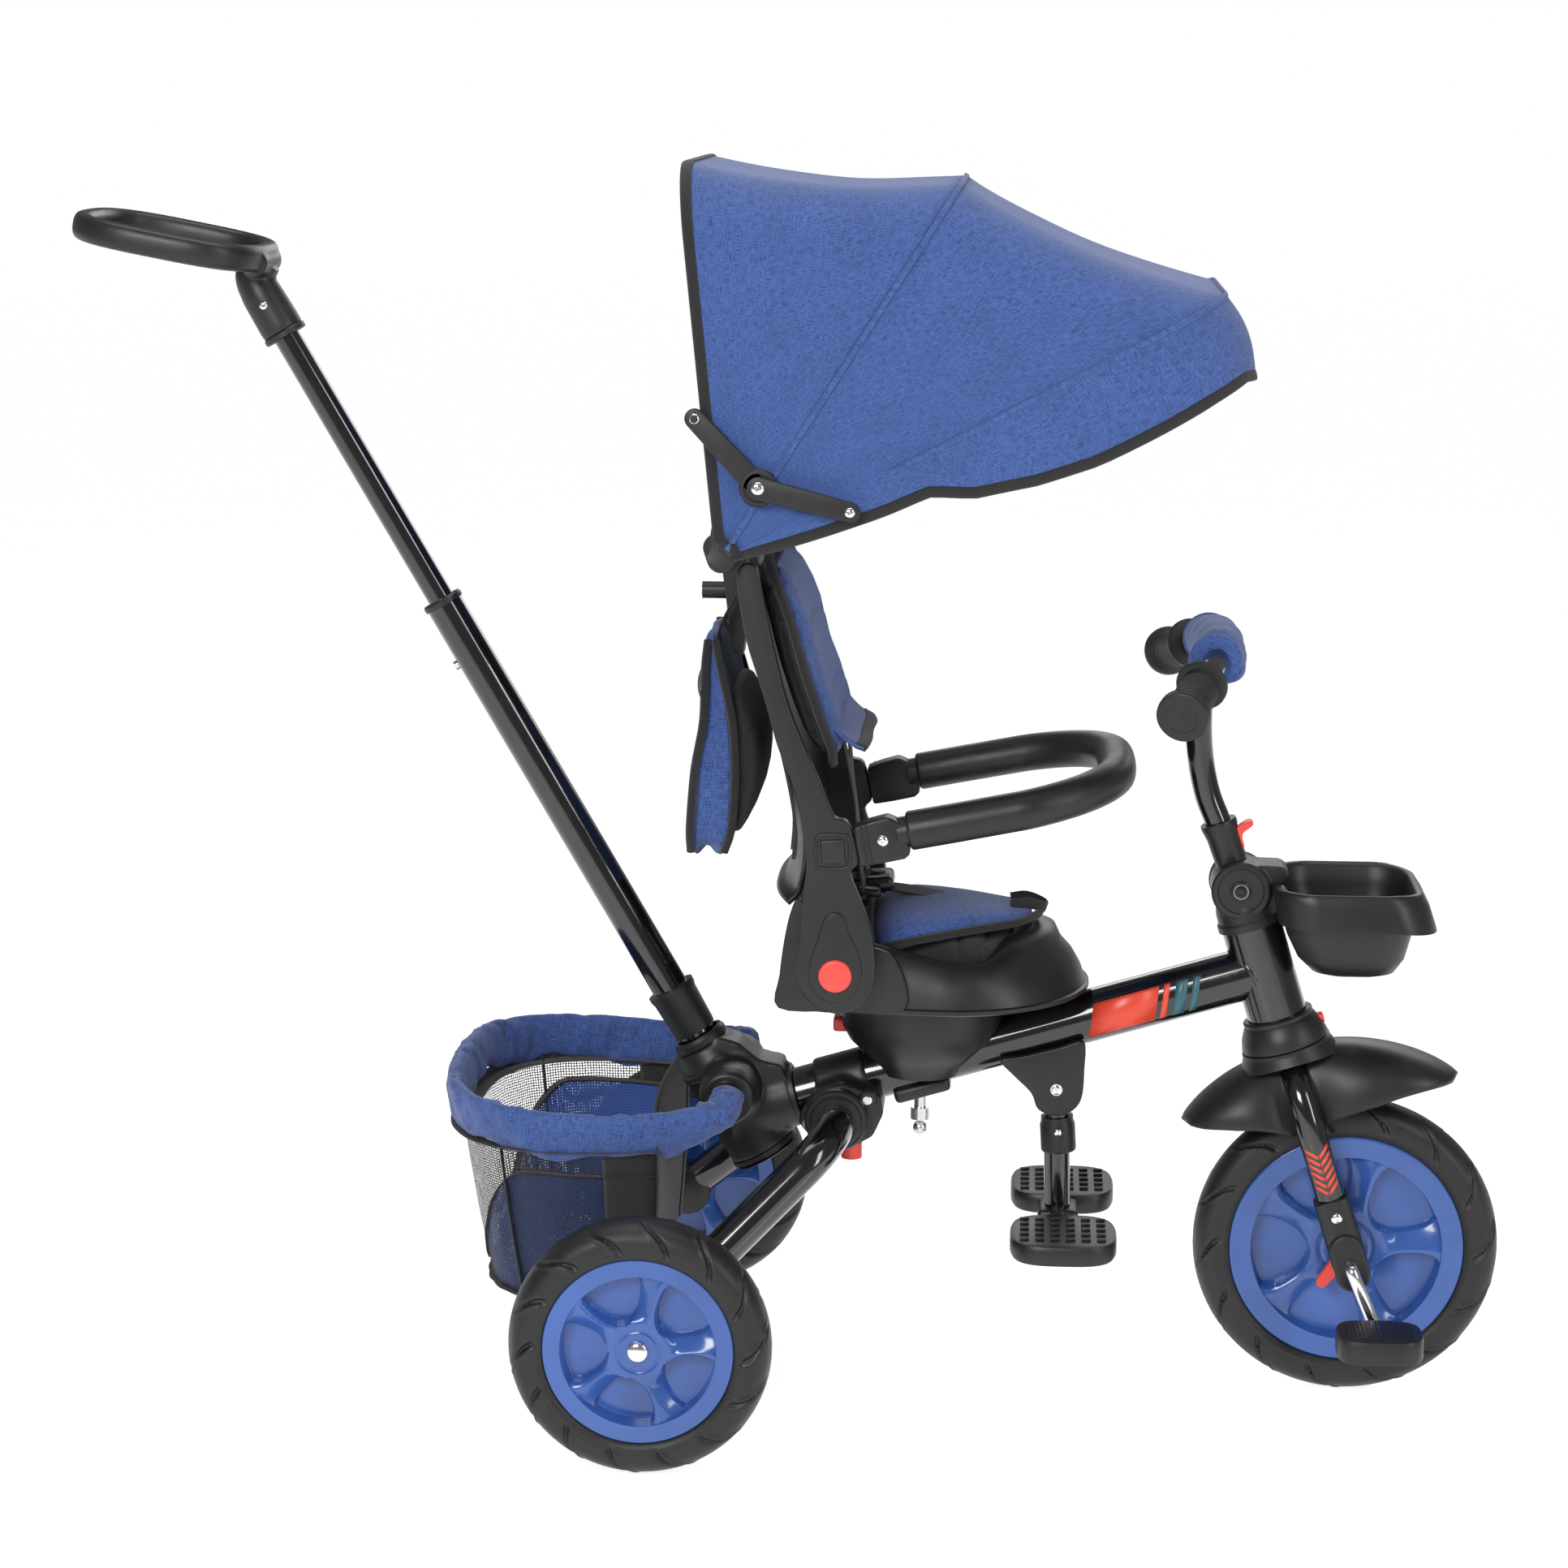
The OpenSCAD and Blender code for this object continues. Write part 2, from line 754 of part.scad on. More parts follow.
module handlebar_pad() place() color("royalblue") {
    difference() {
        union() {
            across([454, 0, 634], -56, 56, 22);
            translate([452, -50, 612]) cube([24, 100, 22]);
        }
        bar(bar_mid + [0, -40, 0], bar_mid + [0, 40, 0], 12);
        both_sides()
            bar(bar_mid + [0, 39, 0], grip_in, 12);
        bar(stem_points[3] - [0, 0, 20], stem_points[3] + [0, 0, 4], 12.2);
        bar(stem_points[3], bar_mid, 12.2);
    }
}

// ---------- front wheel ----------

module front_tyre() place() color("black")
    translate(front_axle) tyre(front_r, front_rim_r);

module front_rim() place() color("royalblue")
    translate(front_axle) rim(front_rim_r, crank_axle_r + fit);

module clutch_lever() place() color("tomato") {
    y = -rim_w / 2 - gap;
    difference() {
        union() {
            across(front_axle, y - 5, y, 13);
            side_plate(y - 8, y - 2)
                strap(xz(front_axle) + [-7, -10], 6, xz(front_axle) + [-20, -27], 4.5);
        }
        across(front_axle, -60, 60, crank_axle_r + 0.5);
    }
}

function crank_pin(side) = front_axle + side * right * crank_l * [cos(crank_angle), 0, sin(crank_angle)];

module cranks() place() color("silver") {
    across(front_axle, -crank_y - 5, crank_y + 5, crank_axle_r);
    for (side = [right, left]) {
        y = side * (crank_y + 1);
        bar(front_axle + [0, y, 0], crank_pin(side) + [0, y, 0], 5);
        translate(front_axle + [0, y, 0]) sphere(r = 6.5);
        translate(crank_pin(side) + [0, y, 0]) sphere(r = 5.5);
        across(crank_pin(side), min(y, side * 128), max(y, side * 128), 4);
    }
}

module pedal(side) place() color("dimgray")
    difference() {
        translate(crank_pin(side) + [0, side * (crank_y + 12 + pedal_size[1] / 2), -pedal_size[2] / 2])
            round_slab(pedal_size, 14);
        across(crank_pin(side), -130, 130, 4 + fit);
    }

// ---------- footrest ----------

module footrest_post() place() color("black") {
    difference() {
        union() {
            across(footrest_bolt, -11, 11, 11);
            bar(footrest_bolt, [footrest_x, 0, 140], 11);
            translate([footrest_x - 18, -peg_hinge_y + 4, 138]) cube([36, 2 * peg_hinge_y - 8, 14]);
        }
        across(footrest_bolt, -40, 40, 3.5 + fit);
    }
}

module footrest_sleeve() place() color("dimgray") {
    difference() {
        bar([footrest_x + 1, 0, 203], [footrest_x - 1, 0, 233], 14.5);
        bar([footrest_x, 0, 140], footrest_bolt, 11.1);
    }
}

module foot_peg(side) place() color("dimgray")
    one_side(side)
        difference() {
            translate([335, -peg_hinge_y - peg_size[1] / 2, peg_top_z - peg_size[2]])
                round_slab(peg_size, 30);
            translate([footrest_x - 20, -peg_hinge_y - 8, peg_top_z - 30]) cube([40, 20, 60]);
        }

// ---------- seat ----------

module seat_outline(inset) {
    rear = 52;
    translate([seat_rear_x + rear, seat_w / 2 - rear - 6]) circle(r = rear - inset);
    translate([seat_rear_x + rear, 6 + rear - seat_w / 2]) circle(r = rear - inset);
    translate([seat_front_x - seat_w / 2, 0]) circle(r = seat_w / 2 - inset);
}

module seat_shell() place() color("dimgray") {
    difference() {
        union() {
            hull() {
                translate([0, 0, seat_bottom_z])
                    linear_extrude(height = 10) seat_outline(0, $fn = hull_fn);
                translate([0, 0, 392])
                    linear_extrude(height = 6) seat_outline(14, $fn = hull_fn);
            }
            across(recline_pin, -lobe_in + gap, lobe_in - gap, 28);
            across(recline_pin, -124, 124, 8 - fit);
        }
        hull() {
            translate([-4, 0, 399])
                linear_extrude(height = 30) seat_outline(30, $fn = hull_fn);
            translate([0, 0, 364])
                linear_extrude(height = 6) seat_outline(44, $fn = hull_fn);
        }
        translate([60, -86, 364]) cube([120, 172, 60]);
        translate([seat_axis_x, 0, 300]) cylinder(h = 100, r = 5 + fit);
    }
}

module seat_cushion() place() color("royalblue") {
    hull() {
        translate([0, 0, 372])
            linear_extrude(height = 4) seat_outline(50, $fn = hull_fn);
        translate([-6, 0, 396])
            linear_extrude(height = 4) seat_outline(42, $fn = hull_fn);
        translate([200, 0, 410]) round_slab([40, 100, 14], 12, $fn = hull_fn);
        translate([286, 0, 400]) round_slab([40, 60, 8], 12, $fn = hull_fn);
    }
}

// ---------- backrest ----------

module backrest_frame() place() color("dimgray") {
    rail_top = rail_foot + rail_l * back_dir;
    difference() {
        union() {
            both_sides() {
                side_plate(lobe_in, lobe_out) {
                    strap(xz(recline_pin), lobe_r, [147, 446], 22);
                    polygon([[125, 440], [170, 440], [170, 508], [123, 508]]);
                }
                side_plate(lobe_in - 6, lobe_in + 8)
                    strap([139, 490], 14, xz(rail_top), 9);
            }
            translate(rail_foot)
                rotate([0, -back_lean, 0])
                    translate([-8, -lobe_in + 1, -56]) cube([5, 2 * lobe_in - 2, rail_l + 62]);
        }
        across(recline_pin, -150, 150, 8);
        both_sides() {
            across(recline_pin, 124.5, 140, 13.5 + gap);
            translate([137 - gap, 126, 476 - gap]) cube([20 + 2 * gap, 10, 21 + 2 * gap]);
        }
    }
}

module recline_button(side) place() color("tomato")
    one_side(side) across(recline_pin, -137, -128, 13.5);

module bumper_button(side) place() color("dimgray")
    one_side(side)
        translate([137, -133.5, 476]) cube([20, 6, 21]);

module back_cushion() place() color("royalblue") {
    translate(rail_foot)
        rotate([0, -back_lean, 0])
            hull() {
                translate([1, -88, 38]) cube([38, 176, 8]);
                translate([1, -102, 90]) cube([27, 204, 40]);
                translate([-2, -90, 206]) cube([16, 180, 6]);
            }
}

// The bag's outline: narrow at its strap, wide below it and narrower at its foot
module bag_blank(in_set) {
    t = in_set;
    hull() {
        translate([36 + t, t - 52, 642]) cube([22 - 2 * t, 104 - 2 * t, 4]);
        translate([31 + t, t - 92, 560]) cube([50 - 2 * t, 184 - 2 * t, 40]);
        translate([28 + t, t - 84, 467 + t]) cube([46 - 2 * t, 168 - 2 * t, 8]);
    }
}

module storage_bag() place() color("royalblue") {
    difference() {
        bag_blank(0);
        bag_blank(2.5);
        translate([38.5, -49, 640]) cube([17, 98, 10]);
        translate([54, -15, 620]) cube([32, 30, 40]);
    }
}

// ---------- canopy ----------

// Unit vector at an angle in the X-Z plane
function fan(a) = [cos(a), 0, sin(a)];

// A U-shaped bow in its own fan plane: straight legs, round corners
module bow_wire(bow, leg_y, reach_in) {
    reach = bow[1] - reach_in;
    start = 14;
    translate(canopy_hub)
        rotate([0, -bow[0], 0]) {
            both_sides() {
                bar([start, leg_y, 0], [reach - bow_corner_r, leg_y, 0], bow_r);
                translate([reach - bow_corner_r, leg_y - bow_corner_r, 0])
                    arc_bar(bow_corner_r, bow_r, 90);
            }
            bar([reach, bow_corner_r - leg_y, 0], [reach, leg_y - bow_corner_r, 0], bow_r);
        }
}

module bow_eye(bow, y0, y1) {
    both_sides()
        difference() {
            union() {
                across(canopy_hub, y0, y1, 10);
                side_plate(y0, y1)
                    strap(xz(canopy_hub), 7, xz(canopy_hub + 20 * fan(bow[0])), 4);
            }
            across(canopy_hub, y0 - 1, y1 + 1, 4 + fit);
        }
}

module canopy_mount() place() color("dimgray") {
    side_plate(-14, 14)
        polygon([[45, 740], [62, 740], [70, 700], [72, 668], [66, 624], [58, 626], [50, 690]]);
    across([canopy_hub[0] - 6, 0, canopy_hub[2] + 6], -side_y + 30, side_y - 30, 7);
    both_sides() {
        side_plate(side_y - 32, side_y - 26)
            strap(xz(canopy_hub), hub_r, xz(canopy_hub) + [-6, 6], 10);
        across(canopy_hub, side_y - 32, side_y - 7, 4);
        side_plate(side_y - 9, side_y - 4)
            strap(xz(canopy_hub), 11, xz(canopy_hub + 24 * fan(rear_bow[0])), 5);
        across(link_a, side_y - 8, link_y + 2 * link_t + 0.6, 3);
        side_plate(side_y - 9, side_y - 5)
            strap(xz(link_a) + [4, 0], 5, xz(canopy_hub + 108 * fan(rear_bow[0])), 4.5);
    }
    bow_wire(rear_bow, side_y - 6, 6.1);
    translate([56, 0, 676]) rotate([0, -90, 0]) cylinder(h = 24, r = 7);
}

module canopy_mid_bow() place() color("dimgray") {
    bow_eye(mid_bow, side_y - 15, side_y - 10);
    bow_wire(mid_bow, side_y - 13.6, 6);
}

module canopy_front_bow() place() color("dimgray") {
    bow_eye(front_bow, side_y - 24, side_y - 19);
    bow_wire(front_bow, side_y - 21.2, 7);
}

// A point on a cover's outline: u runs from one lower side edge (0), over the
// top (0.5), to the other lower side edge (1). in_set moves it inwards.
cover_steps = 24;
leg_share = 0.34;
function cover_point(bow, foot, u, in_set) =
    let (
        reach = bow[1] - in_set,
        w = side_y - in_set,
        c = bow_corner_r,
        s = u < 0.5 ? -1 : 1,
        v = u < 0.5 ? u * 2 : (1 - u) * 2,
        leg_v = min(v / leg_share, 1),
        arc_v = min(max((v - leg_share) / 0.4, 0), 1),
        top_v = max((v - leg_share - 0.4) / (0.6 - leg_share), 0),
        r = v <= leg_share
            ? foot + (reach - c - foot) * leg_v
            : reach - c + c * sin(90 * arc_v),
        y = v <= leg_share
            ? w
            : (w - c + c * cos(90 * arc_v)) * (1 - top_v)
    )
    canopy_hub + r * fan(bow[0]) + [0, s * y, 0];

// A closed thin sheet stretched between a list of bow outlines
module cover(bows, feet) {
    n = cover_steps;
    rows = len(bows);
    outer = [for (j = [0 : rows - 1], i = [0 : n]) cover_point(bows[j], feet[j], i / n, 0)];
    inner = [for (j = [0 : rows - 1], i = [0 : n]) cover_point(bows[j], feet[j], i / n, cover_t)];
    base = rows * (n + 1);
    function at(j, i) = j * (n + 1) + i;
    faces = concat(
        [for (j = [0 : rows - 2], i = [0 : n - 1]) each
            [[at(j, i), at(j, i + 1), at(j + 1, i + 1)], [at(j, i), at(j + 1, i + 1), at(j + 1, i)]]],
        [for (j = [0 : rows - 2], i = [0 : n - 1]) each
            [[base + at(j, i), base + at(j + 1, i + 1), base + at(j, i + 1)],
             [base + at(j, i), base + at(j + 1, i), base + at(j + 1, i + 1)]]],
        [for (i = [0 : n - 1]) each
            [[at(0, i), base + at(0, i + 1), at(0, i + 1)], [at(0, i), base + at(0, i), base + at(0, i + 1)],
             [at(rows - 1, i), at(rows - 1, i + 1), base + at(rows - 1, i + 1)],
             [at(rows - 1, i), base + at(rows - 1, i + 1), base + at(rows - 1, i)]]],
        [for (j = [0 : rows - 2]) each
            [[at(j, 0), at(j + 1, 0), base + at(j + 1, 0)], [at(j, 0), base + at(j + 1, 0), base + at(j, 0)],
             [at(j, n), base + at(j + 1, n), at(j + 1, n)], [at(j, n), base + at(j, n), base + at(j + 1, n)]]]
    );
    polyhedron(points = concat(outer, inner), faces = faces);
}

module canopy_rear_cover() place() color("royalblue")
    cover([rear_bow, mid_bow], [24, 24]);

module canopy_front_cover() place() color("royalblue")
    cover([mid_bow - [0.4, 0], [42, 373], front_bow, visor_edge], [24, 34, 48, 60]);

module canopy_rear_link() place() color("dimgray")
    both_sides()
        difference() {
            side_plate(link_y, link_y + link_t) {
                strap(xz(link_a), 8, xz(link_b), 8);
                translate(xz(link_b)) circle(r = 15);
            }
            across(link_a, 100, 200, 3 + fit);
            across(link_b, 100, 200, 3 + fit);
        }

module canopy_front_link() place() color("dimgray")
    both_sides() {
        side_plate(link_y + link_t + 0.3, link_y + 2 * link_t + 0.3) {
            strap(xz(link_b), 10, xz(link_c), 8);
        }
        across(link_b, link_y, link_y + link_t + 1, 3);
        across(link_c, link_y, link_y + 2 * link_t + 1.6, 4);
    }

// ---------- bumper ----------

module bumper_bar() place() color("dimgray") {
    leg_l = bumper_reach - bumper_y + 10;
    corner = 92;
    both_sides()
        difference() {
            side_plate(bumper_y - 9, bumper_y + 9)
                union() {
                    translate(xz(bumper_pin)) circle(r = 14.8);
                    polygon([[171.7, 478], [171.7, 496], [186, 510.5], [200, 516], [208, 508], [209, 486],
                        [204, 478]]);
                }
            across(bumper_pin, 100, 140, 4);
        }
    both_sides() across(bumper_pin, bumper_y - 10.5, bumper_y + 10.5, 4 - fit);
    translate(bumper_pin + [0, 0, 2])
        rotate([0, -bumper_rise, 0]) {
            both_sides() {
                bar([12, bumper_y, 0], [bumper_reach - corner, bumper_y, 0], bumper_foam_r);
                translate([bumper_reach - corner, bumper_y - corner, 0])
                    arc_bar(corner, bumper_foam_r, 90);
            }
            bar([bumper_reach, corner - bumper_y, 0], [bumper_reach, bumper_y - corner, 0], bumper_foam_r);
        }
}

// ---------- every node ----------

main_frame();
rear_housing();
frame_screws();
leg_clamp();
head_collar();
footrest_bracket();
swivel_base();
rear_basket();
steering_lock_button();
leg_release_button();
swivel_lever();
lower_pole();
pole_fittings();
pole_lock_button();
upper_pole();
push_handle();
rear_legs();
rear_tyre(right);  // rear_tyre_right
rear_rim(right);  // rear_rim_right
rear_tyre(left);  // rear_tyre_left
rear_rim(left);  // rear_rim_left
fork();
crown_cover();
fender();
fork_ends();
knuckle_base();
front_basket();
fork_screws();
stem_sleeve();
handlebar();
handlebar_grips();
handlebar_pad();
handlebar_lever();
front_tyre();
front_rim();
clutch_lever();
cranks();
pedal(right);  // pedal_right
pedal(left);  // pedal_left
footrest_post();
footrest_sleeve();
foot_peg(right);  // foot_peg_right
foot_peg(left);  // foot_peg_left
seat_shell();
seat_cushion();
backrest_frame();
back_cushion();
storage_bag();
canopy_mount();
recline_button(right);  // recline_button_right
recline_button(left);  // recline_button_left
bumper_bar();
bumper_button(right);  // bumper_button_right
bumper_button(left);  // bumper_button_left
canopy_mid_bow();
canopy_front_bow();
canopy_rear_cover();
canopy_front_cover();
canopy_rear_link();
canopy_front_link();
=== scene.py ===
"""The looks of the children's tricycle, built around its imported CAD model.

Lengths in this file are millimetres from the rear axle: x forwards, y to the rider's left and
z up from the ground. at() turns them into Blender's metres in the row frame.
"""
import math

import bmesh
import bpy
import numpy as np
from mathutils import Matrix, Vector


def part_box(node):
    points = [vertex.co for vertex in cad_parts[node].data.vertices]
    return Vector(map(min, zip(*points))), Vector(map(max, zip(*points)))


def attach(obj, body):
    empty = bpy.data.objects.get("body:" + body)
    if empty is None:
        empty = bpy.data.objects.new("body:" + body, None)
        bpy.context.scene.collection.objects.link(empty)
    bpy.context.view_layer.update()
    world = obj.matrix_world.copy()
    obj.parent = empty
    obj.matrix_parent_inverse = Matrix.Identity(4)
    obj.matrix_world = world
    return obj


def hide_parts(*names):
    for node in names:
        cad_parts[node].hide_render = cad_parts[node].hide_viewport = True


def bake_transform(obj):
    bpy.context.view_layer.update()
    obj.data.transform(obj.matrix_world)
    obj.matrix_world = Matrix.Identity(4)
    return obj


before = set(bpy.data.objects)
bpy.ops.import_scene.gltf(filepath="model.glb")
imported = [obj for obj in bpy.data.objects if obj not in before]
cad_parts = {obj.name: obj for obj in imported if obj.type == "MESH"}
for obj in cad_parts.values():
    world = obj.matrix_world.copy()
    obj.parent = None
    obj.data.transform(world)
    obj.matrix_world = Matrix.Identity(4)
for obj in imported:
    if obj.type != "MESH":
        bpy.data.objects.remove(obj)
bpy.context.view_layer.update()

RIGHT, LEFT = -1, 1
SIDES = ((RIGHT, "right"), (LEFT, "left"))
tyre_low, tyre_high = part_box("rear_tyre_left")
AXLE_X = (tyre_low[0] + tyre_high[0]) / 2


def at(x, y, z):
    """A place in the row frame, in metres."""
    return Vector((AXLE_X + x / 1000, y / 1000, z / 1000))


def placed(rows):
    """Rows of places in millimetres, moved to the row frame."""
    return [[at(*p) for p in row] for row in rows]


# ---------- camera, floor and light ----------

CAMERA_PLACE = (296.9, -2859.4, 1101.2)
CAMERA_YAW = math.radians(-3.96)
CAMERA_DROP = math.radians(11.58)
CAMERA_LENS = 80.97


def make_camera():
    forward = Vector((math.sin(CAMERA_YAW) * math.cos(CAMERA_DROP),
                      math.cos(CAMERA_YAW) * math.cos(CAMERA_DROP), -math.sin(CAMERA_DROP)))
    right = Vector((math.cos(CAMERA_YAW), -math.sin(CAMERA_YAW), 0))
    up = right.cross(forward)
    data = bpy.data.cameras.new("camera")
    data.lens = CAMERA_LENS
    data.sensor_width = 36
    data.clip_end = 50
    obj = bpy.data.objects.new("camera", data)
    bpy.context.collection.objects.link(obj)
    turn = Matrix((right, up, -forward)).transposed().to_4x4()
    obj.matrix_world = Matrix.Translation(at(*CAMERA_PLACE)) @ turn
    bpy.context.scene.camera = obj


def area_light(name, place, target, size, power):
    data = bpy.data.lights.new(name, "AREA")
    data.shape = "RECTANGLE"
    data.size, data.size_y = size
    data.energy = power
    obj = bpy.data.objects.new(name, data)
    bpy.context.collection.objects.link(obj)
    obj.location = place
    obj.rotation_euler = (Vector(target) - Vector(place)).to_track_quat("-Z", "Y").to_euler()


def make_studio():
    """A white studio: the backdrop is bright to the camera and dimmer in reflections."""
    bpy.context.scene.view_settings.view_transform = "Standard"
    world = bpy.data.worlds.new("studio")
    bpy.context.scene.world = world
    world.use_nodes = True
    tree = world.node_tree
    background = tree.nodes["Background"]
    background.inputs["Color"].default_value = (1, 1, 1, 1)
    path = tree.nodes.new("ShaderNodeLightPath")
    strength = node(tree, "ShaderNodeMapRange")
    strength.inputs["To Min"].default_value = 0.22
    strength.inputs["To Max"].default_value = 1.0
    tree.links.new(path.outputs["Is Camera Ray"], strength.inputs["Value"])
    tree.links.new(strength.outputs["Result"], background.inputs["Strength"])
    area_light("key", (-0.9, -2.7, 1.9), (0.1, 0, 0.45), (1.3, 1.0), 56)
    area_light("fill", (2.4, -1.8, 1.5), (0.1, 0, 0.4), (0.5, 1.9), 24)
    area_light("top", (0.0, 0.1, 2.9), (0, 0, 0.4), (2.2, 1.2), 27)
    area_light("back", (0.6, 2.6, 1.6), (0, 0, 0.5), (2.2, 1.2), 18)


# ---------- materials ----------

def shader(name, color, roughness, **sockets):
    """A new material and its node tree, with constants set on the shader's own sockets."""
    mat = bpy.data.materials.new(name)
    mat.use_nodes = True
    mat.diffuse_color = (*color, 1)
    tree = mat.node_tree
    bsdf = tree.nodes["Principled BSDF"]
    bsdf.inputs["Base Color"].default_value = (*color, 1)
    bsdf.inputs["Roughness"].default_value = roughness
    for key, value in sockets.items():
        bsdf.inputs[key.replace("_", " ")].default_value = value
    return mat, tree, bsdf


def node(tree, kind, **values):
    """A node with its properties and inputs set by name."""
    made = tree.nodes.new(kind)
    for key, value in values.items():
        if hasattr(made, key):
            setattr(made, key, value)
        else:
            made.inputs[key.replace("_", " ")].default_value = value
    return made


def coordinates(tree, source, scale):
    """Texture coordinates, scaled."""
    origin = node(tree, "ShaderNodeTexCoord")
    mapping = node(tree, "ShaderNodeMapping")
    mapping.inputs["Scale"].default_value = scale
    tree.links.new(origin.outputs[source], mapping.inputs["Vector"])
    return mapping.outputs["Vector"]


def noise(tree, vector, scale, detail=3.0, roughness=0.55):
    made = node(tree, "ShaderNodeTexNoise", Scale=scale, Detail=detail, Roughness=roughness)
    tree.links.new(vector, made.inputs["Vector"])
    return made.outputs["Fac"]


def ramp(tree, value, stops):
    """A colour ramp over value; stops are (position, grey or colour)."""
    made = node(tree, "ShaderNodeValToRGB")
    tree.links.new(value, made.inputs["Fac"])
    elements = made.color_ramp.elements
    while len(elements) < len(stops):
        elements.new(0.5)
    for element, (position, tone) in zip(elements, stops):
        element.position = position
        element.color = (*tone, 1) if isinstance(tone, tuple) else (tone, tone, tone, 1)
    return made.outputs["Color"]


def bump(tree, bsdf, height, strength, distance, below=None):
    made = node(tree, "ShaderNodeBump", Strength=strength, Distance=distance)
    tree.links.new(height, made.inputs["Height"])
    if below is not None:
        tree.links.new(below, made.inputs["Normal"])
    tree.links.new(made.outputs["Normal"], bsdf.inputs["Normal"])
    return made.outputs["Normal"]


def mix_colors(tree, factor, first, second):
    made = node(tree, "ShaderNodeMix", data_type="RGBA")
    color_inputs = [s for s in made.inputs if s.type == "RGBA"]
    tree.links.new(factor, made.inputs[0])
    for socket, value in zip(color_inputs, (first, second)):
        if isinstance(value, tuple):
            socket.default_value = (*value, 1)
        else:
            tree.links.new(value, socket)
    return next(s for s in made.outputs if s.type == "RGBA")


def moulded_plastic(name, color, roughness, grain=0.12, grain_scale=900, **sockets):
    """Injection-moulded plastic: fine spark-eroded grain, faint flow marks and handling scuffs."""
    mat, tree, bsdf = shader(name, color, roughness, **sockets)
    place = coordinates(tree, "Object", (1, 1, 1))
    cloud = noise(tree, place, 14, 4)
    spread = ramp(tree, cloud, [(0.3, roughness - 0.05), (0.7, roughness + 0.07)])
    tree.links.new(spread, bsdf.inputs["Roughness"])
    lighter = tuple(min(1, c * 1.18 + 0.002) for c in color)
    darker = tuple(c * 0.88 for c in color)
    tree.links.new(ramp(tree, cloud, [(0.3, darker), (0.7, lighter)]), bsdf.inputs["Base Color"])
    bump(tree, bsdf, noise(tree, place, grain_scale, 2), grain, 0.0004)
    return mat


def gloss_paint(name, color, roughness=0.12):
    """Stove-enamelled tube: a deep gloss coat with a trace of orange peel and dust."""
    mat, tree, bsdf = shader(name, color, roughness, Coat_Weight=1.0, Coat_Roughness=0.04)
    place = coordinates(tree, "Object", (1, 1, 1))
    dust = noise(tree, place, 60, 5, 0.7)
    tree.links.new(ramp(tree, dust, [(0.35, roughness), (0.75, roughness + 0.12)]),
                   bsdf.inputs["Roughness"])
    bump(tree, bsdf, noise(tree, place, 180, 1), 0.06, 0.0004)
    return mat


def bright_metal(name, color, roughness):
    """Zinc or chrome plate with fine polishing marks."""
    mat, tree, bsdf = shader(name, color, roughness, Metallic=1.0)
    place = coordinates(tree, "Object", (40, 40, 900))
    marks = noise(tree, place, 4, 3)
    tree.links.new(ramp(tree, marks, [(0.3, roughness), (0.8, roughness + 0.14)]), bsdf.inputs["Roughness"])
    bump(tree, bsdf, marks, 0.05, 0.0002)
    return mat


def foam_rubber(name, color, roughness, cell_scale, depth):
    """Closed-cell foam skin: small pores and soft blotches."""
    mat, tree, bsdf = shader(name, color, roughness)
    place = coordinates(tree, "Object", (1, 1, 1))
    cells = node(tree, "ShaderNodeTexVoronoi", Scale=cell_scale)
    tree.links.new(place, cells.inputs["Vector"])
    blotch = noise(tree, place, 22, 5, 0.65)
    light = tuple(c * 1.5 + 0.004 for c in color)
    tree.links.new(ramp(tree, blotch, [(0.32, color), (0.75, light)]), bsdf.inputs["Base Color"])
    tree.links.new(ramp(tree, blotch, [(0.3, roughness - 0.1), (0.7, roughness + 0.1)]),
                   bsdf.inputs["Roughness"])
    first = bump(tree, bsdf, cells.outputs["Distance"], depth, 0.0004)
    bump(tree, bsdf, noise(tree, place, 120, 4), 0.08, 0.0006, first)
    return mat


def melange(name, base, shade, thread, weave=1300, dashes=0.575):
    """Two-tone woven polyester: blue yarn crossed by dark slubs in both directions, over a plain weave."""
    mat, tree, bsdf = shader(name, base, 0.85, Sheen_Weight=0.25, Sheen_Roughness=0.5)
    along = noise(tree, coordinates(tree, "UV", (120, 2300, 1)), 1, 1, 0.5)
    across = noise(tree, coordinates(tree, "UV", (2300, 120, 1)), 1, 1, 0.5)
    fine = noise(tree, coordinates(tree, "UV", (1500, 1500, 1)), 1, 1, 0.5)
    broad = noise(tree, coordinates(tree, "UV", (16, 16, 1)), 1, 3)
    yarn = mix_colors(tree, ramp(tree, fine, [(0.35, 0.0), (0.68, 1.0)]), shade, base)
    weft = ramp(tree, along, [(dashes - 0.08, 0.0), (dashes + 0.06, 0.7)])
    warp = ramp(tree, across, [(dashes - 0.08, 0.0), (dashes + 0.06, 0.6)])
    color = mix_colors(tree, weft, yarn, thread)
    color = mix_colors(tree, warp, color, thread)
    tone = node(tree, "ShaderNodeHueSaturation")
    tree.links.new(ramp(tree, broad, [(0.3, 0.92), (0.7, 1.06)]), tone.inputs["Value"])
    tree.links.new(color, tone.inputs["Color"])
    tree.links.new(tone.outputs["Color"], bsdf.inputs["Base Color"])
    bands = []
    for direction in ("X", "Y"):
        wave = node(tree, "ShaderNodeTexWave", wave_type="BANDS", bands_direction=direction,
                    Scale=weave / 20)
        tree.links.new(coordinates(tree, "UV", (20, 20, 20)), wave.inputs["Vector"])
        bands.append(wave.outputs["Fac"])
    height = node(tree, "ShaderNodeMath", operation="MULTIPLY")
    tree.links.new(bands[0], height.inputs[0])
    tree.links.new(bands[1], height.inputs[1])
    first = bump(tree, bsdf, height.outputs["Value"], 0.35, 0.0003)
    bump(tree, bsdf, weft, 0.25, 0.0003, first)
    return mat


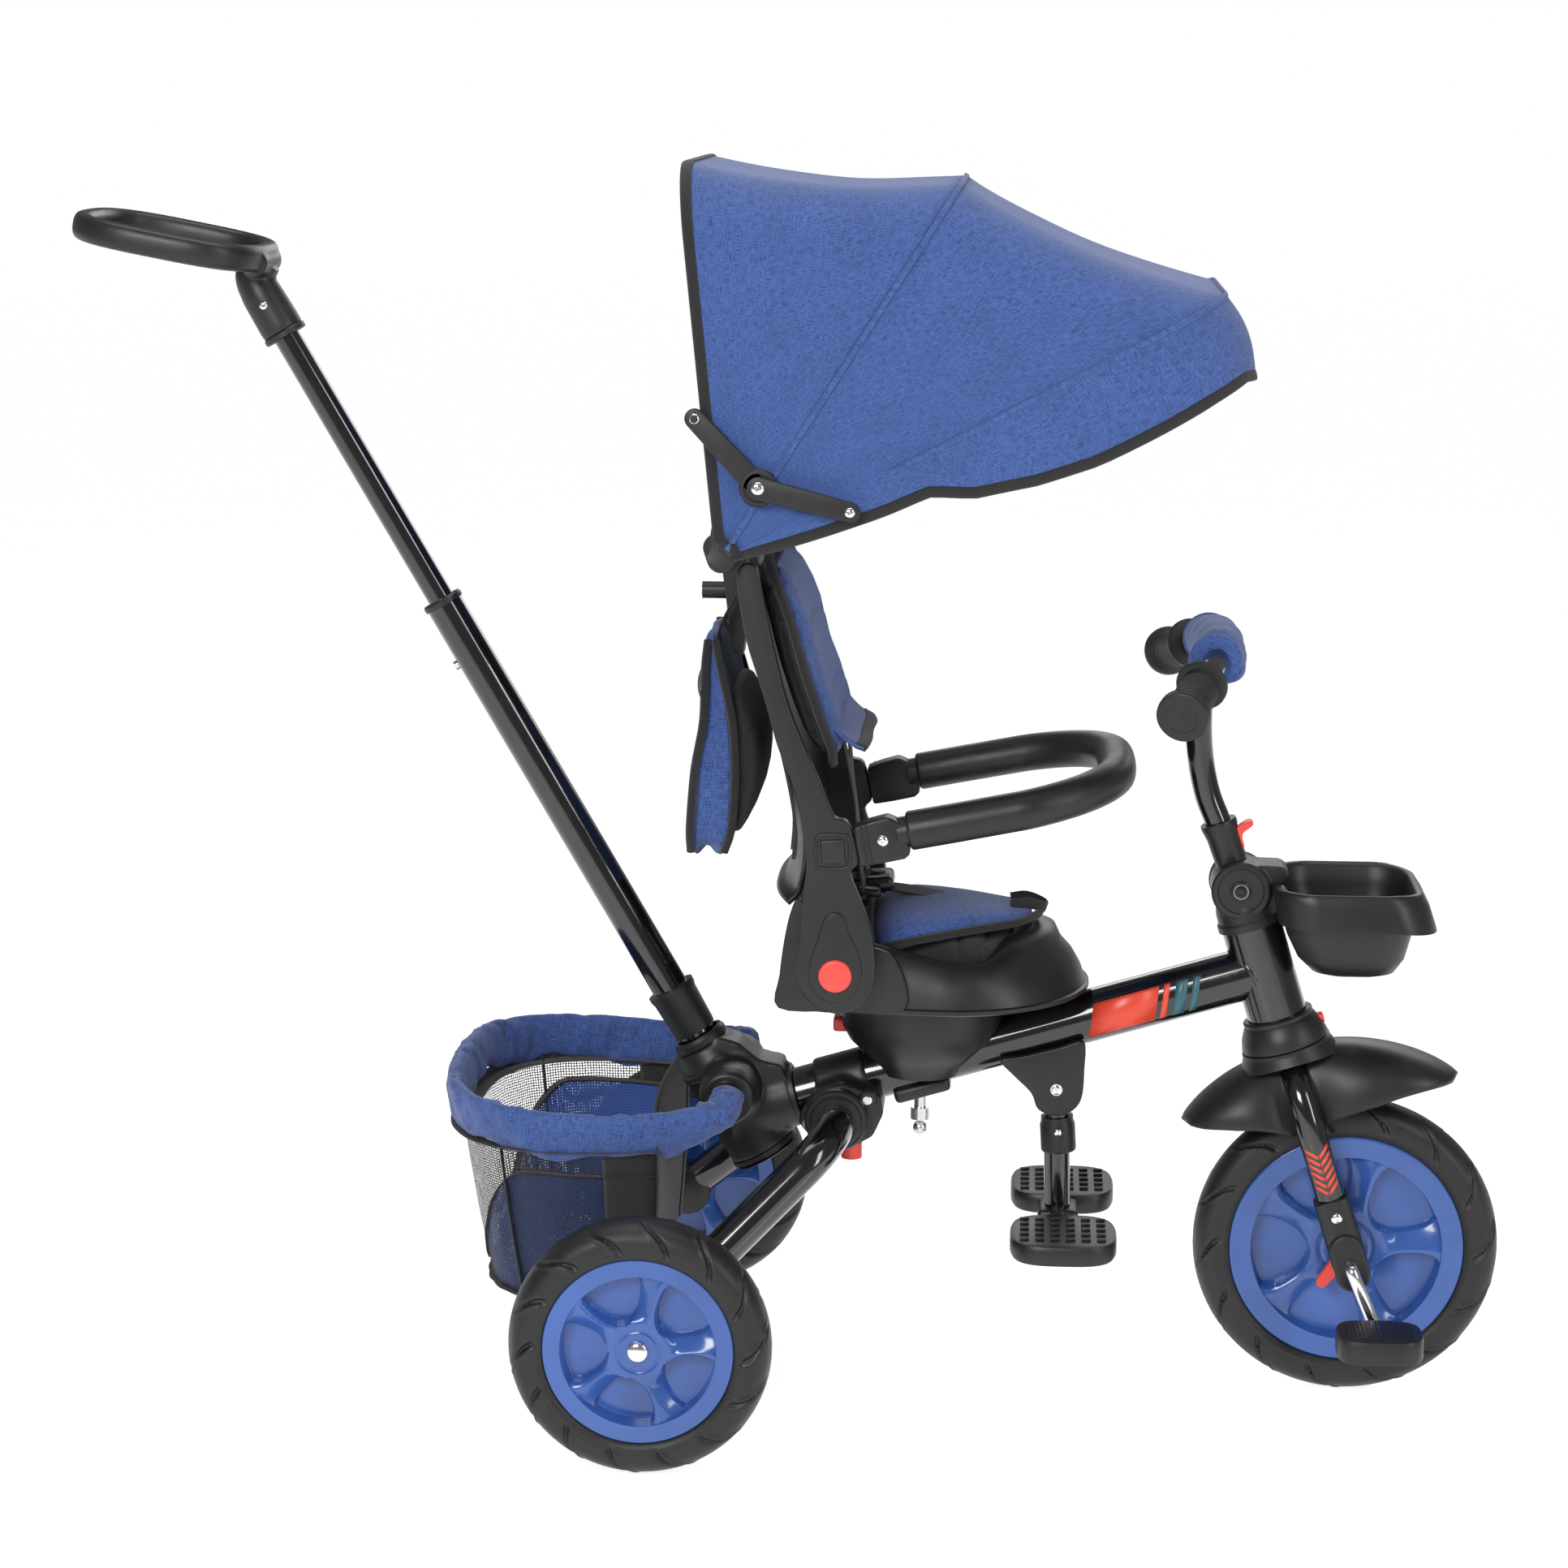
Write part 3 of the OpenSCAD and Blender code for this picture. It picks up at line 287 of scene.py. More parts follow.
def webbing(name, color, rib_scale):
    """Black binding tape or harness webbing: tight ribs along and across."""
    mat, tree, bsdf = shader(name, color, 0.8, Sheen_Weight=0.2)
    wave = node(tree, "ShaderNodeTexWave", wave_type="BANDS", bands_direction="X", Scale=rib_scale)
    tree.links.new(coordinates(tree, "UV", (20, 20, 20)), wave.inputs["Vector"])
    fuzz = noise(tree, coordinates(tree, "UV", (800, 800, 1)), 1, 2)
    light = tuple(c * 2.2 + 0.006 for c in color)
    tree.links.new(ramp(tree, fuzz, [(0.3, color), (0.75, light)]), bsdf.inputs["Base Color"])
    first = bump(tree, bsdf, wave.outputs["Fac"], 0.5, 0.0005)
    bump(tree, bsdf, fuzz, 0.3, 0.0003, first)
    return mat


def open_mesh(name, color, cells, hole):
    """Knitted mesh that light passes through: round holes in staggered rows."""
    mat, tree, bsdf = shader(name, color, 0.7, Sheen_Weight=0.1)
    place = coordinates(tree, "UV", (cells, cells, 1))
    voronoi = node(tree, "ShaderNodeTexVoronoi", voronoi_dimensions="2D", Scale=1.0, Randomness=0.12)
    tree.links.new(place, voronoi.inputs["Vector"])
    tree.links.new(ramp(tree, voronoi.outputs["Distance"], [(hole - 0.04, 0.0), (hole + 0.04, 1.0)]),
                   bsdf.inputs["Alpha"])
    yarn = noise(tree, place, 2.0, 2)
    light = tuple(c * 1.6 + 0.004 for c in color)
    tree.links.new(ramp(tree, yarn, [(0.3, color), (0.7, light)]), bsdf.inputs["Base Color"])
    bump(tree, bsdf, voronoi.outputs["Distance"], 0.4, 0.0004)
    return mat


PAINT = gloss_paint("gloss_black_paint", (0.004, 0.004, 0.0045))
SATIN_WIRE = gloss_paint("satin_black_wire", (0.008, 0.008, 0.009), 0.35)
PLASTIC = moulded_plastic("black_plastic", (0.0105, 0.0105, 0.011), 0.4)
SMOOTH_PLASTIC = moulded_plastic("smooth_black_plastic", (0.009, 0.009, 0.0095), 0.3, 0.05)
RED = moulded_plastic("red_plastic", (0.86, 0.075, 0.055), 0.36, 0.04)
BLUE = moulded_plastic("blue_plastic", (0.036, 0.104, 0.37), 0.2, 0.02, Coat_Weight=0.4,
                       Coat_Roughness=0.08)
TYRE = foam_rubber("foam_tyre", (0.0085, 0.0085, 0.009), 0.46, 1500, 0.2)
FOAM = foam_rubber("foam_grip", (0.009, 0.009, 0.009), 0.44, 1900, 0.12)
GRIP = moulded_plastic("grip_rubber", (0.012, 0.012, 0.012), 0.55, 0.1)
CHROME = bright_metal("bright_chrome", (0.86, 0.86, 0.88), 0.08)
ZINC = bright_metal("zinc_plate", (0.72, 0.72, 0.74), 0.24)
FABRIC = melange("blue_melange", (0.076, 0.156, 0.47), (0.044, 0.1, 0.33), (0.01, 0.02, 0.085))
TAPE = webbing("black_binding", (0.006, 0.006, 0.007), 60)
STRAP = webbing("black_webbing", (0.008, 0.008, 0.009), 22)
PADDING = webbing("black_padding", (0.009, 0.009, 0.01), 90)
MESH = open_mesh("black_mesh", (0.012, 0.012, 0.013), 430, 0.4)
BLUE_MESH = open_mesh("blue_mesh", (0.022, 0.06, 0.24), 430, 0.16)


# ---------- mesh building ----------

def new_object(name, verts, faces, material, uvs=None, sharp=38, flip=False):
    """A mesh object. uvs gives, for each face, one (u, v) per corner, in metres."""
    mesh = bpy.data.meshes.new(name)
    mesh.from_pydata([tuple(v) for v in verts], [], faces)
    if uvs is not None:
        layer = mesh.uv_layers.new(name="UVMap")
        flat = [c for face in uvs for corner in face for c in corner]
        layer.data.foreach_set("uv", flat)
    mesh.materials.append(material)
    mesh.validate()
    shape = bmesh.new()
    shape.from_mesh(mesh)
    bmesh.ops.remove_doubles(shape, verts=shape.verts, dist=1e-6)
    bmesh.ops.recalc_face_normals(shape, faces=shape.faces)
    if flip:
        bmesh.ops.reverse_faces(shape, faces=shape.faces)
    shape.to_mesh(mesh)
    shape.free()
    mesh.shade_smooth()
    mesh.set_sharp_from_angle(angle=math.radians(sharp))
    obj = bpy.data.objects.new(name, mesh)
    bpy.context.collection.objects.link(obj)
    return obj


def lattice(name, rows, material, wrap_rows=False, wrap_columns=False, caps=False, sharp=38):
    """A surface through rows of points, with UVs in metres. caps closes the first and last rows."""
    rows = [[Vector(p) for p in row] for row in rows]
    n, m = len(rows), len(rows[0])
    row_range = n if wrap_rows else n - 1
    column_range = m if wrap_columns else m - 1
    u = [0.0]
    middle = rows[n // 2]
    for j in range(column_range):
        u.append(u[-1] + (middle[(j + 1) % m] - middle[j]).length)
    v = [0.0]
    for i in range(row_range):
        v.append(v[-1] + (rows[(i + 1) % n][m // 2] - rows[i][m // 2]).length)
    verts = [p for row in rows for p in row]
    faces, uvs = [], []
    for i in range(row_range):
        for j in range(column_range):
            i2, j2 = (i + 1) % n, (j + 1) % m
            faces.append((i * m + j, i * m + j2, i2 * m + j2, i2 * m + j))
            uvs.append(((u[j], v[i]), (u[j + 1], v[i]), (u[j + 1], v[i + 1]), (u[j], v[i + 1])))
    if caps:
        for i in (0, n - 1):
            faces.append(tuple(i * m + j for j in range(m)))
            centre = sum(rows[i], Vector()) / m
            uvs.append(tuple(((p - centre).x, (p - centre).z + (p - centre).y) for p in rows[i]))
    return new_object(name, verts, faces, material, uvs, sharp)


def bake(obj):
    """Applies every modifier."""
    graph = bpy.context.evaluated_depsgraph_get()
    mesh = bpy.data.meshes.new_from_object(obj.evaluated_get(graph))
    obj.modifiers.clear()
    obj.data = mesh
    return obj


def thicken(obj, thickness, offset=0.0):
    """Turns a sheet into a closed thin solid; thickness in millimetres."""
    made = obj.modifiers.new("thickness", "SOLIDIFY")
    made.thickness = thickness / 1000
    made.offset = offset
    made.use_even_offset = True
    return bake(obj)


def round_edges(obj, width, segments=3, angle=30):
    """Rounds the sharp edges; width in millimetres."""
    made = obj.modifiers.new("rounding", "BEVEL")
    made.width = width / 1000
    made.segments = segments
    made.limit_method = "ANGLE"
    made.angle_limit = math.radians(angle)
    made.harden_normals = False
    bake(obj)
    obj.data.shade_smooth()
    obj.data.set_sharp_from_angle(angle=math.radians(42))
    return obj


def subdivide(obj, levels):
    made = obj.modifiers.new("subdivision", "SUBSURF")
    made.levels = levels
    made.render_levels = levels
    bake(obj)
    obj.data.shade_smooth()
    return obj


def cut(obj, *cutters):
    """Takes other solids away from obj, then removes them."""
    for cutter in cutters:
        made = obj.modifiers.new("cut", "BOOLEAN")
        made.operation = "DIFFERENCE"
        made.solver = "EXACT"
        made.object = cutter
        bake(obj)
        bpy.data.objects.remove(cutter)
    obj.data.shade_smooth()
    obj.data.set_sharp_from_angle(angle=math.radians(40))
    return obj


def melt(name, parts, voxel, passes, material):
    """Joins solids into one soft-edged moulding: voxels, then smoothing. Sizes in millimetres."""
    whole = bmesh.new()
    for part in parts:
        whole.from_mesh(part.data)
        bpy.data.objects.remove(part)
    mesh = bpy.data.meshes.new(name)
    whole.to_mesh(mesh)
    whole.free()
    obj = bpy.data.objects.new(name, mesh)
    bpy.context.collection.objects.link(obj)
    remesh = obj.modifiers.new("remesh", "REMESH")
    remesh.mode = "VOXEL"
    remesh.voxel_size = voxel / 1000
    smooth = obj.modifiers.new("smooth", "SMOOTH")
    smooth.iterations = passes
    smooth.factor = 0.5
    bake(obj)
    obj.data.materials.clear()
    obj.data.materials.append(material)
    obj.data.shade_smooth()
    return obj


def curve_through(points, steps):
    """A smooth path through points (Catmull-Rom), steps per stretch."""
    pts = [np.array(p, float) for p in points]
    ends = [2 * pts[0] - pts[1]] + pts + [2 * pts[-1] - pts[-2]]
    path = []
    for a, b, c, d in zip(ends, ends[1:], ends[2:], ends[3:]):
        for k in range(steps):
            t = k / steps
            path.append(0.5 * (2 * b + (c - a) * t + (2 * a - 5 * b + 4 * c - d) * t ** 2
                               + (3 * b - a - 3 * c + d) * t ** 3))
    path.append(pts[-1])
    return path


def frames_along(path, closed, hint):
    """For each point of a path: its direction and two steady directions across it."""
    path = [np.array(p, float) for p in path]
    n = len(path)
    side = np.array(hint, float)
    result = []
    for i in range(n):
        before = path[i - 1] if i or closed else path[0]
        after = path[(i + 1) % n] if i < n - 1 or closed else path[-1]
        forward = (after - before) / np.linalg.norm(after - before)
        side = side - forward * side.dot(forward)
        side = side / np.linalg.norm(side)
        result.append((forward, side, np.cross(forward, side)))
    return result


def circle_section(radius, sides=20):
    return [(radius * math.cos(2 * math.pi * k / sides), radius * math.sin(2 * math.pi * k / sides))
            for k in range(sides)]


def soft_box_section(width, height, power=4.0, sides=32):
    """A superellipse: a rectangle with rounded corners."""
    points = []
    for k in range(sides):
        a = 2 * math.pi * k / sides
        c, s = math.cos(a), math.sin(a)
        points.append((width / 2 * math.copysign(abs(c) ** (2 / power), c),
                       height / 2 * math.copysign(abs(s) ** (2 / power), s)))
    return points


def sweep(name, path, section, material, closed=False, hint=(0, 1, 0), scale=None, caps=True, sharp=38):
    """Carries a section along a path, both in millimetres. scale(t) may size it, t from 0 to 1."""
    frames = frames_along(path, closed, hint)
    rows = []
    for i, (p, (_, side, other)) in enumerate(zip(path, frames)):
        k = scale(i / (len(path) - 1)) if scale else 1.0
        rows.append([at(*(np.array(p) + k * a * side + k * b * other)) for a, b in section])
    return lattice(name, rows, material, wrap_rows=closed, wrap_columns=True,
                   caps=caps and not closed, sharp=sharp)


def tube(name, points, radius, material, steps=8, closed=False, hint=(0, 1, 0), sides=20):
    path = curve_through(points, steps) if steps > 1 else points
    return sweep(name, path, circle_section(radius, sides), material, closed, hint)


def lathe(name, profile, centre, axis, material, segments=64, sharp=30):
    """Turns a profile of (radius, distance along the axis), in millimetres, about an axis."""
    axis = np.array(axis, float)
    axis = axis / np.linalg.norm(axis)
    hint = np.array((0.0, 0.0, 1.0)) if abs(axis[2]) < 0.9 else np.array((1.0, 0.0, 0.0))
    side = hint - axis * hint.dot(axis)
    side /= np.linalg.norm(side)
    other = np.cross(axis, side)
    rows = []
    for r, t in profile:
        ring = []
        for k in range(segments):
            a = 2 * math.pi * k / segments
            offset = axis * t + max(r, 0.001) * (math.cos(a) * side + math.sin(a) * other)
            ring.append(at(*(np.array(centre) + offset)))
        rows.append(ring)
    return lattice(name, rows, material, wrap_columns=True, caps=True, sharp=sharp)


def plate(name, outline, y0, y1, material, rounding=0.0, segments=3):
    """An outline of (x, z) given a thickness along y."""
    n = len(outline)
    verts = [at(x, y, z) for y in (y0, y1) for x, z in outline]
    faces = [tuple(range(n)), tuple(range(2 * n - 1, n - 1, -1))]
    faces += [(k, (k + 1) % n, n + (k + 1) % n, n + k) for k in range(n)]
    uvs = [tuple((verts[k].x, verts[k].z) for k in face) for face in faces]
    obj = new_object(name, verts, faces, material, uvs)
    return round_edges(obj, rounding, segments) if rounding else obj


def smooth_outline(points, steps=5):
    """A closed smooth outline through (x, z) points."""
    path = []
    n = len(points)
    for k in range(n):
        a, b, c, d = (np.array(points[(k + s) % n], float) for s in (-1, 0, 1, 2))
        for i in range(steps):
            t = i / steps
            path.append(tuple(0.5 * (2 * b + (c - a) * t + (2 * a - 5 * b + 4 * c - d) * t ** 2
                                     + (3 * b - a - 3 * c + d) * t ** 3)))
    return path


def block(name, centre, size, material, rounding=1.0, turn=0.0):
    """A box with rounded edges, turned about y by an angle in degrees."""
    cx, cy, cz = centre
    sx, sy, sz = (s / 2 for s in size)
    c, s = math.cos(math.radians(turn)), math.sin(math.radians(turn))
    outline = [(cx + x * c - z * s, cz + x * s + z * c)
               for x, z in ((-sx, -sz), (sx, -sz), (sx, sz), (-sx, sz))]
    return plate(name, outline, cy - sy, cy + sy, material, rounding)


def put(obj, body, slot_name, *nodes):
    """The piece rides on a body and may stand for CAD nodes, which it hides; slot_name is not used."""
    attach(obj, body)
    if nodes:
        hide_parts(*nodes)
    return obj


def ease(t):
    """Smooth step from 0 to 1."""
    t = min(max(t, 0.0), 1.0)
    return t * t * (3 - 2 * t)


def mix(a, b, t):
    return a + (b - a) * t


def table_value(table, x):
    """Straight-line interpolation in a short list of (x, value)."""
    return float(np.interp(x, [row[0] for row in table], [row[1] for row in table]))


# ---------- wheels ----------

REAR_R, REAR_RIM_R, HUB_Y = 105, 76.2, 224
FRONT_R, FRONT_RIM_R = 127, 97.6
FRONT_AXLE = (572, 0, 127)
SLASHES = 14


def make_tyre(name, body, centre, outer, inner, replaced):
    """A foam tyre whose shoulders carry slanted moulded slashes."""
    one_side = curve_through([(inner, 18.6), (inner + 2.4, 20.8), (inner + 7, 21.8), (outer - 18, 22),
                              (outer - 11.5, 21), (outer - 6.4, 17.6), (outer - 2.6, 12),
                              (outer - 0.6, 5.6), (outer, 0)], 4)
    section = [(r, -y) for r, y in one_side] + [(r, y) for r, y in reversed(one_side[:-1])]
    count = len(section)
    normals = []
    for j in range(count):
        before, after = section[j - 1], section[(j + 1) % count]
        dr, dy = after[0] - before[0], after[1] - before[1]
        length = math.hypot(dr, dy)
        normals.append((dy / length, -dr / length))
    pitch = 360 / SLASHES
    rows = []
    for k in range(560):
        a = 360 * k / 560
        row = []
        for (r, y), (nr, ny) in zip(section, normals):
            inward = min(max((outer + 1 - r) / 27, 0), 1)
            lean = 17 * (1 - (1 - inward) ** 2)
            offset = 0 if y < 0 else pitch / 2
            away = ((a + lean + offset) % pitch - pitch / 2) * math.pi / 180 * r
            window = ease((inward - 0.02) / 0.15) * ease((1.0 - inward) / 0.3)
            depth = 3.0 * window * math.exp(-(away / 2.3) ** 2)
            lip = 1.1 * window * math.exp(-((away - 4.8) / 1.8) ** 2)
            bead = 0.7 * math.exp(-((r - inner - 5) / 1.0) ** 2) if abs(y) > 15 else 0
            r2 = r + nr * (lip + bead - depth)
            y2 = y + ny * (lip + bead - depth)
            ca, sa = math.cos(math.radians(a)), math.sin(math.radians(a))
            row.append(at(centre[0] + r2 * ca, centre[1] + y2, centre[2] + r2 * sa))
        rows.append(row)
    obj = lattice(name, rows, TYRE, wrap_rows=True, wrap_columns=True, sharp=60)
    return put(obj, body, "foam_tyre", replaced)


def rim_depth(r, angle, k):
    """How far the rim's face lies below its outer ring; k is the rim's size beside the rear one."""
    boss_r, well_r = 22.7 * k, 62 * k
    if r <= boss_r:
        return 1.5 + 0.9 * ease((r - 15 * k) / 1.2) * ease((18.5 * k - r) / 1.2)
    floor = mix(1.5, 16.0, ease((r - boss_r) / 2.4)) * ease((well_r - r) / 1.7)
    around = (angle - 5.5 + 36) % 72 - 36
    t = around * math.pi / 180 * r
    half = mix(4.6, 8.6, (r - boss_r) / (well_r - boss_r)) * k + 9 * k * math.exp(-(r - boss_r) / (5 * k))
    half += 7 * k * math.exp(-(well_r - r) / (5 * k))
    across = t / half
    rib = 1.0 + 8.6 * min(1.2, abs(across + 0.62) / 1.5) ** 1.15
    level = mix(1.5, rib, ease((r - boss_r) / (12 * k)))
    return min(floor, mix(level, floor, ease((abs(t) - half) / 1.9)))


def make_rim(name, body, centre, radius, replaced):
    """A moulded rim: a flat ring, a deep well and five hollow spokes on both faces."""
    k = radius / 76.2
    radii = [0.4, 8, 14.2, 15, 15.6, 16.4, 17.6, 18.4, 20, 22, 22.7, 23.2, 23.8, 24.6, 25.6]
    radii += [27 + 1.45 * i for i in range(22)]
    radii += [59, 59.8, 60.4, 61, 61.6, 62.1, 63, 66, 70, 74, 75.4, 76.1]
    face = [r * k for r in radii]
    columns = 450
    rows = []
    for side in (RIGHT, LEFT):
        ordered = face if side == RIGHT else list(reversed(face))
        for r in ordered:
            row = []
            for j in range(columns):
                a = 360 * j / columns
                seen = a if side == RIGHT else 180 - a
                y = side * (18.5 - rim_depth(r, seen % 360, k) - (0.9 if r > 75.8 * k else 0))
                row.append(at(centre[0] + r * math.cos(math.radians(a)), centre[1] + y,
                              centre[2] + r * math.sin(math.radians(a))))
            rows.append(row)
    obj = lattice(name, rows, BLUE, wrap_columns=True, caps=True, sharp=50)
    return put(obj, body, "blue_rim", replaced)


def make_wheels():
    for side, word in SIDES:
        centre = (0, side * HUB_Y, REAR_R)
        body = "rear_wheel_" + word
        make_tyre("tyre_rear_" + word, body, centre, REAR_R, REAR_RIM_R, "rear_tyre_" + word)
        make_rim("rim_rear_" + word, body, centre, REAR_RIM_R, "rear_rim_" + word)
        cap = lathe("hub_cap_" + word, [(8.6, 15), (8.6, 18.6), (8.2, 19.6), (7, 20.6), (5, 21.4),
                                        (2.5, 21.9), (0, 22)], centre, (0, side, 0), CHROME, 48)
        put(cap, body, "zinc_screw")
    make_tyre("tyre_front", "front_wheel", FRONT_AXLE, FRONT_R, FRONT_RIM_R, "front_tyre")
    make_rim("rim_front", "front_wheel", FRONT_AXLE, FRONT_RIM_R, "front_rim")


# ---------- canopy ----------

HUB_X, HUB_Z = 60, 722
SIDE_Y = 151
CORNER_R = 60
REAR_BOW, MID_BOW, FRONT_BOW = (95.5, 305), (57.4, 341), (27.5, 438)
VISOR = (18.9, 436)
LOWER_EDGE = [(14, 16), (31, 14), (106, 16.4), (130, 17), (169, 18.6), (202, 15.2), (252, 14.6),
              (300, 15.2), (357, 17.1), (400, 18.6), (428, 19.4), (440, 18.9)]
CANOPY_COLUMNS = 128


def bow_point(u, reach, foot, side_y):
    """(distance from the hub, y) on a bow's U: up one leg, over the top and down the other."""
    s = -1 if u < 0.5 else 1
    v = u * 2 if u < 0.5 else (1 - u) * 2
    leg, arc = 0.5, 0.2
    if v <= leg:
        return mix(foot, reach - CORNER_R, v / leg), s * side_y
    if v <= leg + arc:
        turn = math.pi / 2 * (v - leg) / arc
        return (reach - CORNER_R + CORNER_R * math.sin(turn),
                s * (side_y - CORNER_R + CORNER_R * math.cos(turn)))
    return reach, s * (side_y - CORNER_R) * (1 - (v - leg - arc) / (1 - leg - arc))


def fan_point(angle, r, y):
    return np.array((HUB_X + r * math.cos(math.radians(angle)), y,
                     HUB_Z + r * math.sin(math.radians(angle))))


def on_bow(bow, u, foot=9):
    r, y = bow_point(u, bow[1], foot, SIDE_Y)
    return fan_point(bow[0], r, y)


def topness(u):
    """0 on the canopy's sides and 1 over its top."""
    v = u * 2 if u < 0.5 else (1 - u) * 2
    return ease((v - 0.42) / 0.3)


def ripple(seed, u, t, strength):
    """Small soft creases, the same every run."""
    return strength * (math.sin(17 * u + 3.1 * seed) * math.sin(7 * t + seed)
                       + 0.6 * math.sin(41 * u + 11 * t + 1.7 * seed)) * 0.5


def cover_row(bow_a, bow_b, t, sag, seed):
    """One row of cloth between two bows, hollowed where nothing holds it."""
    row = []
    for i in range(CANOPY_COLUMNS + 1):
        u = i / CANOPY_COLUMNS
        p = on_bow(bow_a, u) * (1 - t) + on_bow(bow_b, u) * t
        hollow = 4 * t * (1 - t)
        out = p - np.array((HUB_X, 0, HUB_Z))
        out[1] = 0
        out = out / max(np.linalg.norm(out), 1)
        top = topness(u)
        p = p - out * sag * hollow * top
        p[1] -= math.copysign(1, p[1]) * (2.4 * hollow * (1 - top))
        p[1] += ripple(seed, u, t, 1.3) * hollow * (1 - top)
        p = p + out * ripple(seed, u, t, 1.6) * hollow * top
        row.append(p)
    return row


def visor_row(t):
    """One row of the visor, from the front bow (0) to the canopy's bound lower edge (1)."""
    row = []
    for i in range(CANOPY_COLUMNS + 1):
        u = i / CANOPY_COLUMNS
        r, y = bow_point(u, FRONT_BOW[1], 9, SIDE_Y)
        edge_r = mix(r, min(r, VISOR[1]), t)
        low = table_value(LOWER_EDGE, r)
        angle = mix(FRONT_BOW[0], low, t)
        bulge = 5 * math.sin(math.pi * t) * topness(u)
        row.append(fan_point(angle, edge_r + bulge, y * (1 - 0.012 * t)))
    return row


def canopy_cover(name, rows, node_name):
    obj = lattice(name, placed(rows), FABRIC, sharp=50)
    thicken(obj, 1.8, -1)
    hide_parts(node_name)
    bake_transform(obj)
    return obj


def binding(name, points, body, width=9.0, height=3.4, material=None, slot_name="blue_fabric"):
    """Binding tape folded over a cloth edge."""
    obj = sweep(name, points, soft_box_section(width, height, 2.6, 14), material or TAPE, hint=(0, 1, 0.2))
    return put(obj, body, slot_name)


def rivet(name, place, side, radius, body, height=2.6, slot_name="zinc_screw", recess=True):
    """A domed rivet facing sideways; with a recess it has a drilled middle."""
    middle = [(radius * 0.28, height * 0.99), (radius * 0.2, height * 0.55)] if recess else []
    profile = [(radius, -1.5), (radius, 0.2), (radius * 0.92, height * 0.45), (radius * 0.7, height * 0.82),
               (radius * 0.4, height)] + middle + [(0, height * (0.55 if recess else 1.02))]
    return put(lathe(name, profile, place, (0, side, 0), CHROME, 32), body, slot_name)


def strap_outline(a, ra, b, rb, count=14):
    """The outline of two discs joined by their outer tangents."""
    d = math.hypot(b[0] - a[0], b[1] - a[1])
    base = math.degrees(math.atan2(b[1] - a[1], b[0] - a[0]))
    turn = math.degrees(math.acos((ra - rb) / d))
    first = [(a[0] + ra * math.cos(math.radians(base + turn + (360 - 2 * turn) * k / count)),
              a[1] + ra * math.sin(math.radians(base + turn + (360 - 2 * turn) * k / count)))
             for k in range(count + 1)]
    second = [(b[0] + rb * math.cos(math.radians(base - turn + 2 * turn * k / count)),
               b[1] + rb * math.sin(math.radians(base - turn + 2 * turn * k / count)))
              for k in range(count + 1)]
    return first + second


def outwards(p, distance):
    """p moved off the canopy's surface: sideways on its sides, away from the hub on its top."""
    share = ease((SIDE_Y - abs(p[1])) / CORNER_R)
    away = p - np.array((HUB_X, p[1], HUB_Z))
    away = away / max(np.linalg.norm(away), 1)
    return p + distance * (share * away + np.array((0, math.copysign(1 - share, p[1]), 0)))


def make_canopy():
    rear = [cover_row(REAR_BOW, MID_BOW, i / 20, 9, 1) for i in range(21)]
    canopy_cover("canopy_rear_cloth", rear, "canopy_rear_cover")
    front = [cover_row(MID_BOW, FRONT_BOW, i / 20, 11, 2) for i in range(21)]
    front += [visor_row(i / 12) for i in range(1, 13)]
    canopy_cover("canopy_front_cloth", front,
                 "canopy_front_cover")
    binding("canopy_rear_binding", [outwards(p, -0.9) for p in rear[0][1:-1]], "backrest", 3.4, 9)
    binding("canopy_front_binding", [outwards(p, -0.9) for p in front[-1]], "canopy_front", 3.4, 9.5)
    binding("canopy_middle_seam", [outwards(p, 0.3) for p in rear[-1]], "canopy_mid", 2.4, 4.6, FABRIC)
    binding("canopy_visor_seam", [outwards(p, 0.3) for p in front[20][12:-12]], "canopy_front", 2.4, 4.6,
            FABRIC)
    foot = [fan_point(a, 12, 0) for a in range(100, 8, -4)]
    for side, word in SIDES:
        corner = [p + np.array((0, side * (SIDE_Y - 0.6), 0)) for p in foot]
        binding("canopy_corner_" + word, corner, "canopy_mid", 3.6, 10)
    make_canopy_links()


LINK_A, LINK_B, LINK_C = (41, 832), (90, 779), (161, 761)


def make_canopy_links():
    for side, word in SIDES:
        y0, y1, y2 = 156, 159.6, 163.2
        bar = plate("canopy_link_rear_" + word, strap_outline(LINK_A, 8, LINK_B, 9),
                    *sorted((side * y0, side * y1)), PLASTIC, 1.1)
        put(bar, "canopy_rear_link", "black_link", "canopy_rear_link")
        disc = lathe("canopy_link_disc_" + word, [(15, 0), (15, 2.8), (14, 3.9), (11.4, 4.1), (11, 3.6),
                                                  (8, 3.6), (0, 3.6)], (LINK_B[0], side * y0, LINK_B[1]),
                                                  (0, side, 0), PLASTIC, 48)
        put(disc, "canopy_rear_link", "black_link")
        bar = plate("canopy_link_front_" + word, strap_outline(LINK_B, 9, LINK_C, 8),
                    *sorted((side * (y1 + 0.3), side * y2)), PLASTIC, 1.1)
        put(bar, "canopy_front_link", "black_link", "canopy_front_link")
        rivet("canopy_rivet_rear_" + word, (LINK_A[0], side * y1, LINK_A[1]), side, 4.4, "canopy_rear_link")
        rivet("canopy_rivet_middle_" + word, (LINK_B[0], side * y2, LINK_B[1]), side, 5.4,
              "canopy_front_link")
        rivet("canopy_rivet_front_" + word, (LINK_C[0], side * y2, LINK_C[1]), side, 4.4,
              "canopy_front_link")


# ---------- padded and sewn pieces ----------

def closed_loft(name, rings, material, sharp=70):
    """A closed skin through rings of points, millimetres, capped at both ends."""
    return lattice(name, [[at(*p) for p in ring] for ring in rings], material, wrap_columns=True, caps=True,
                   sharp=sharp)


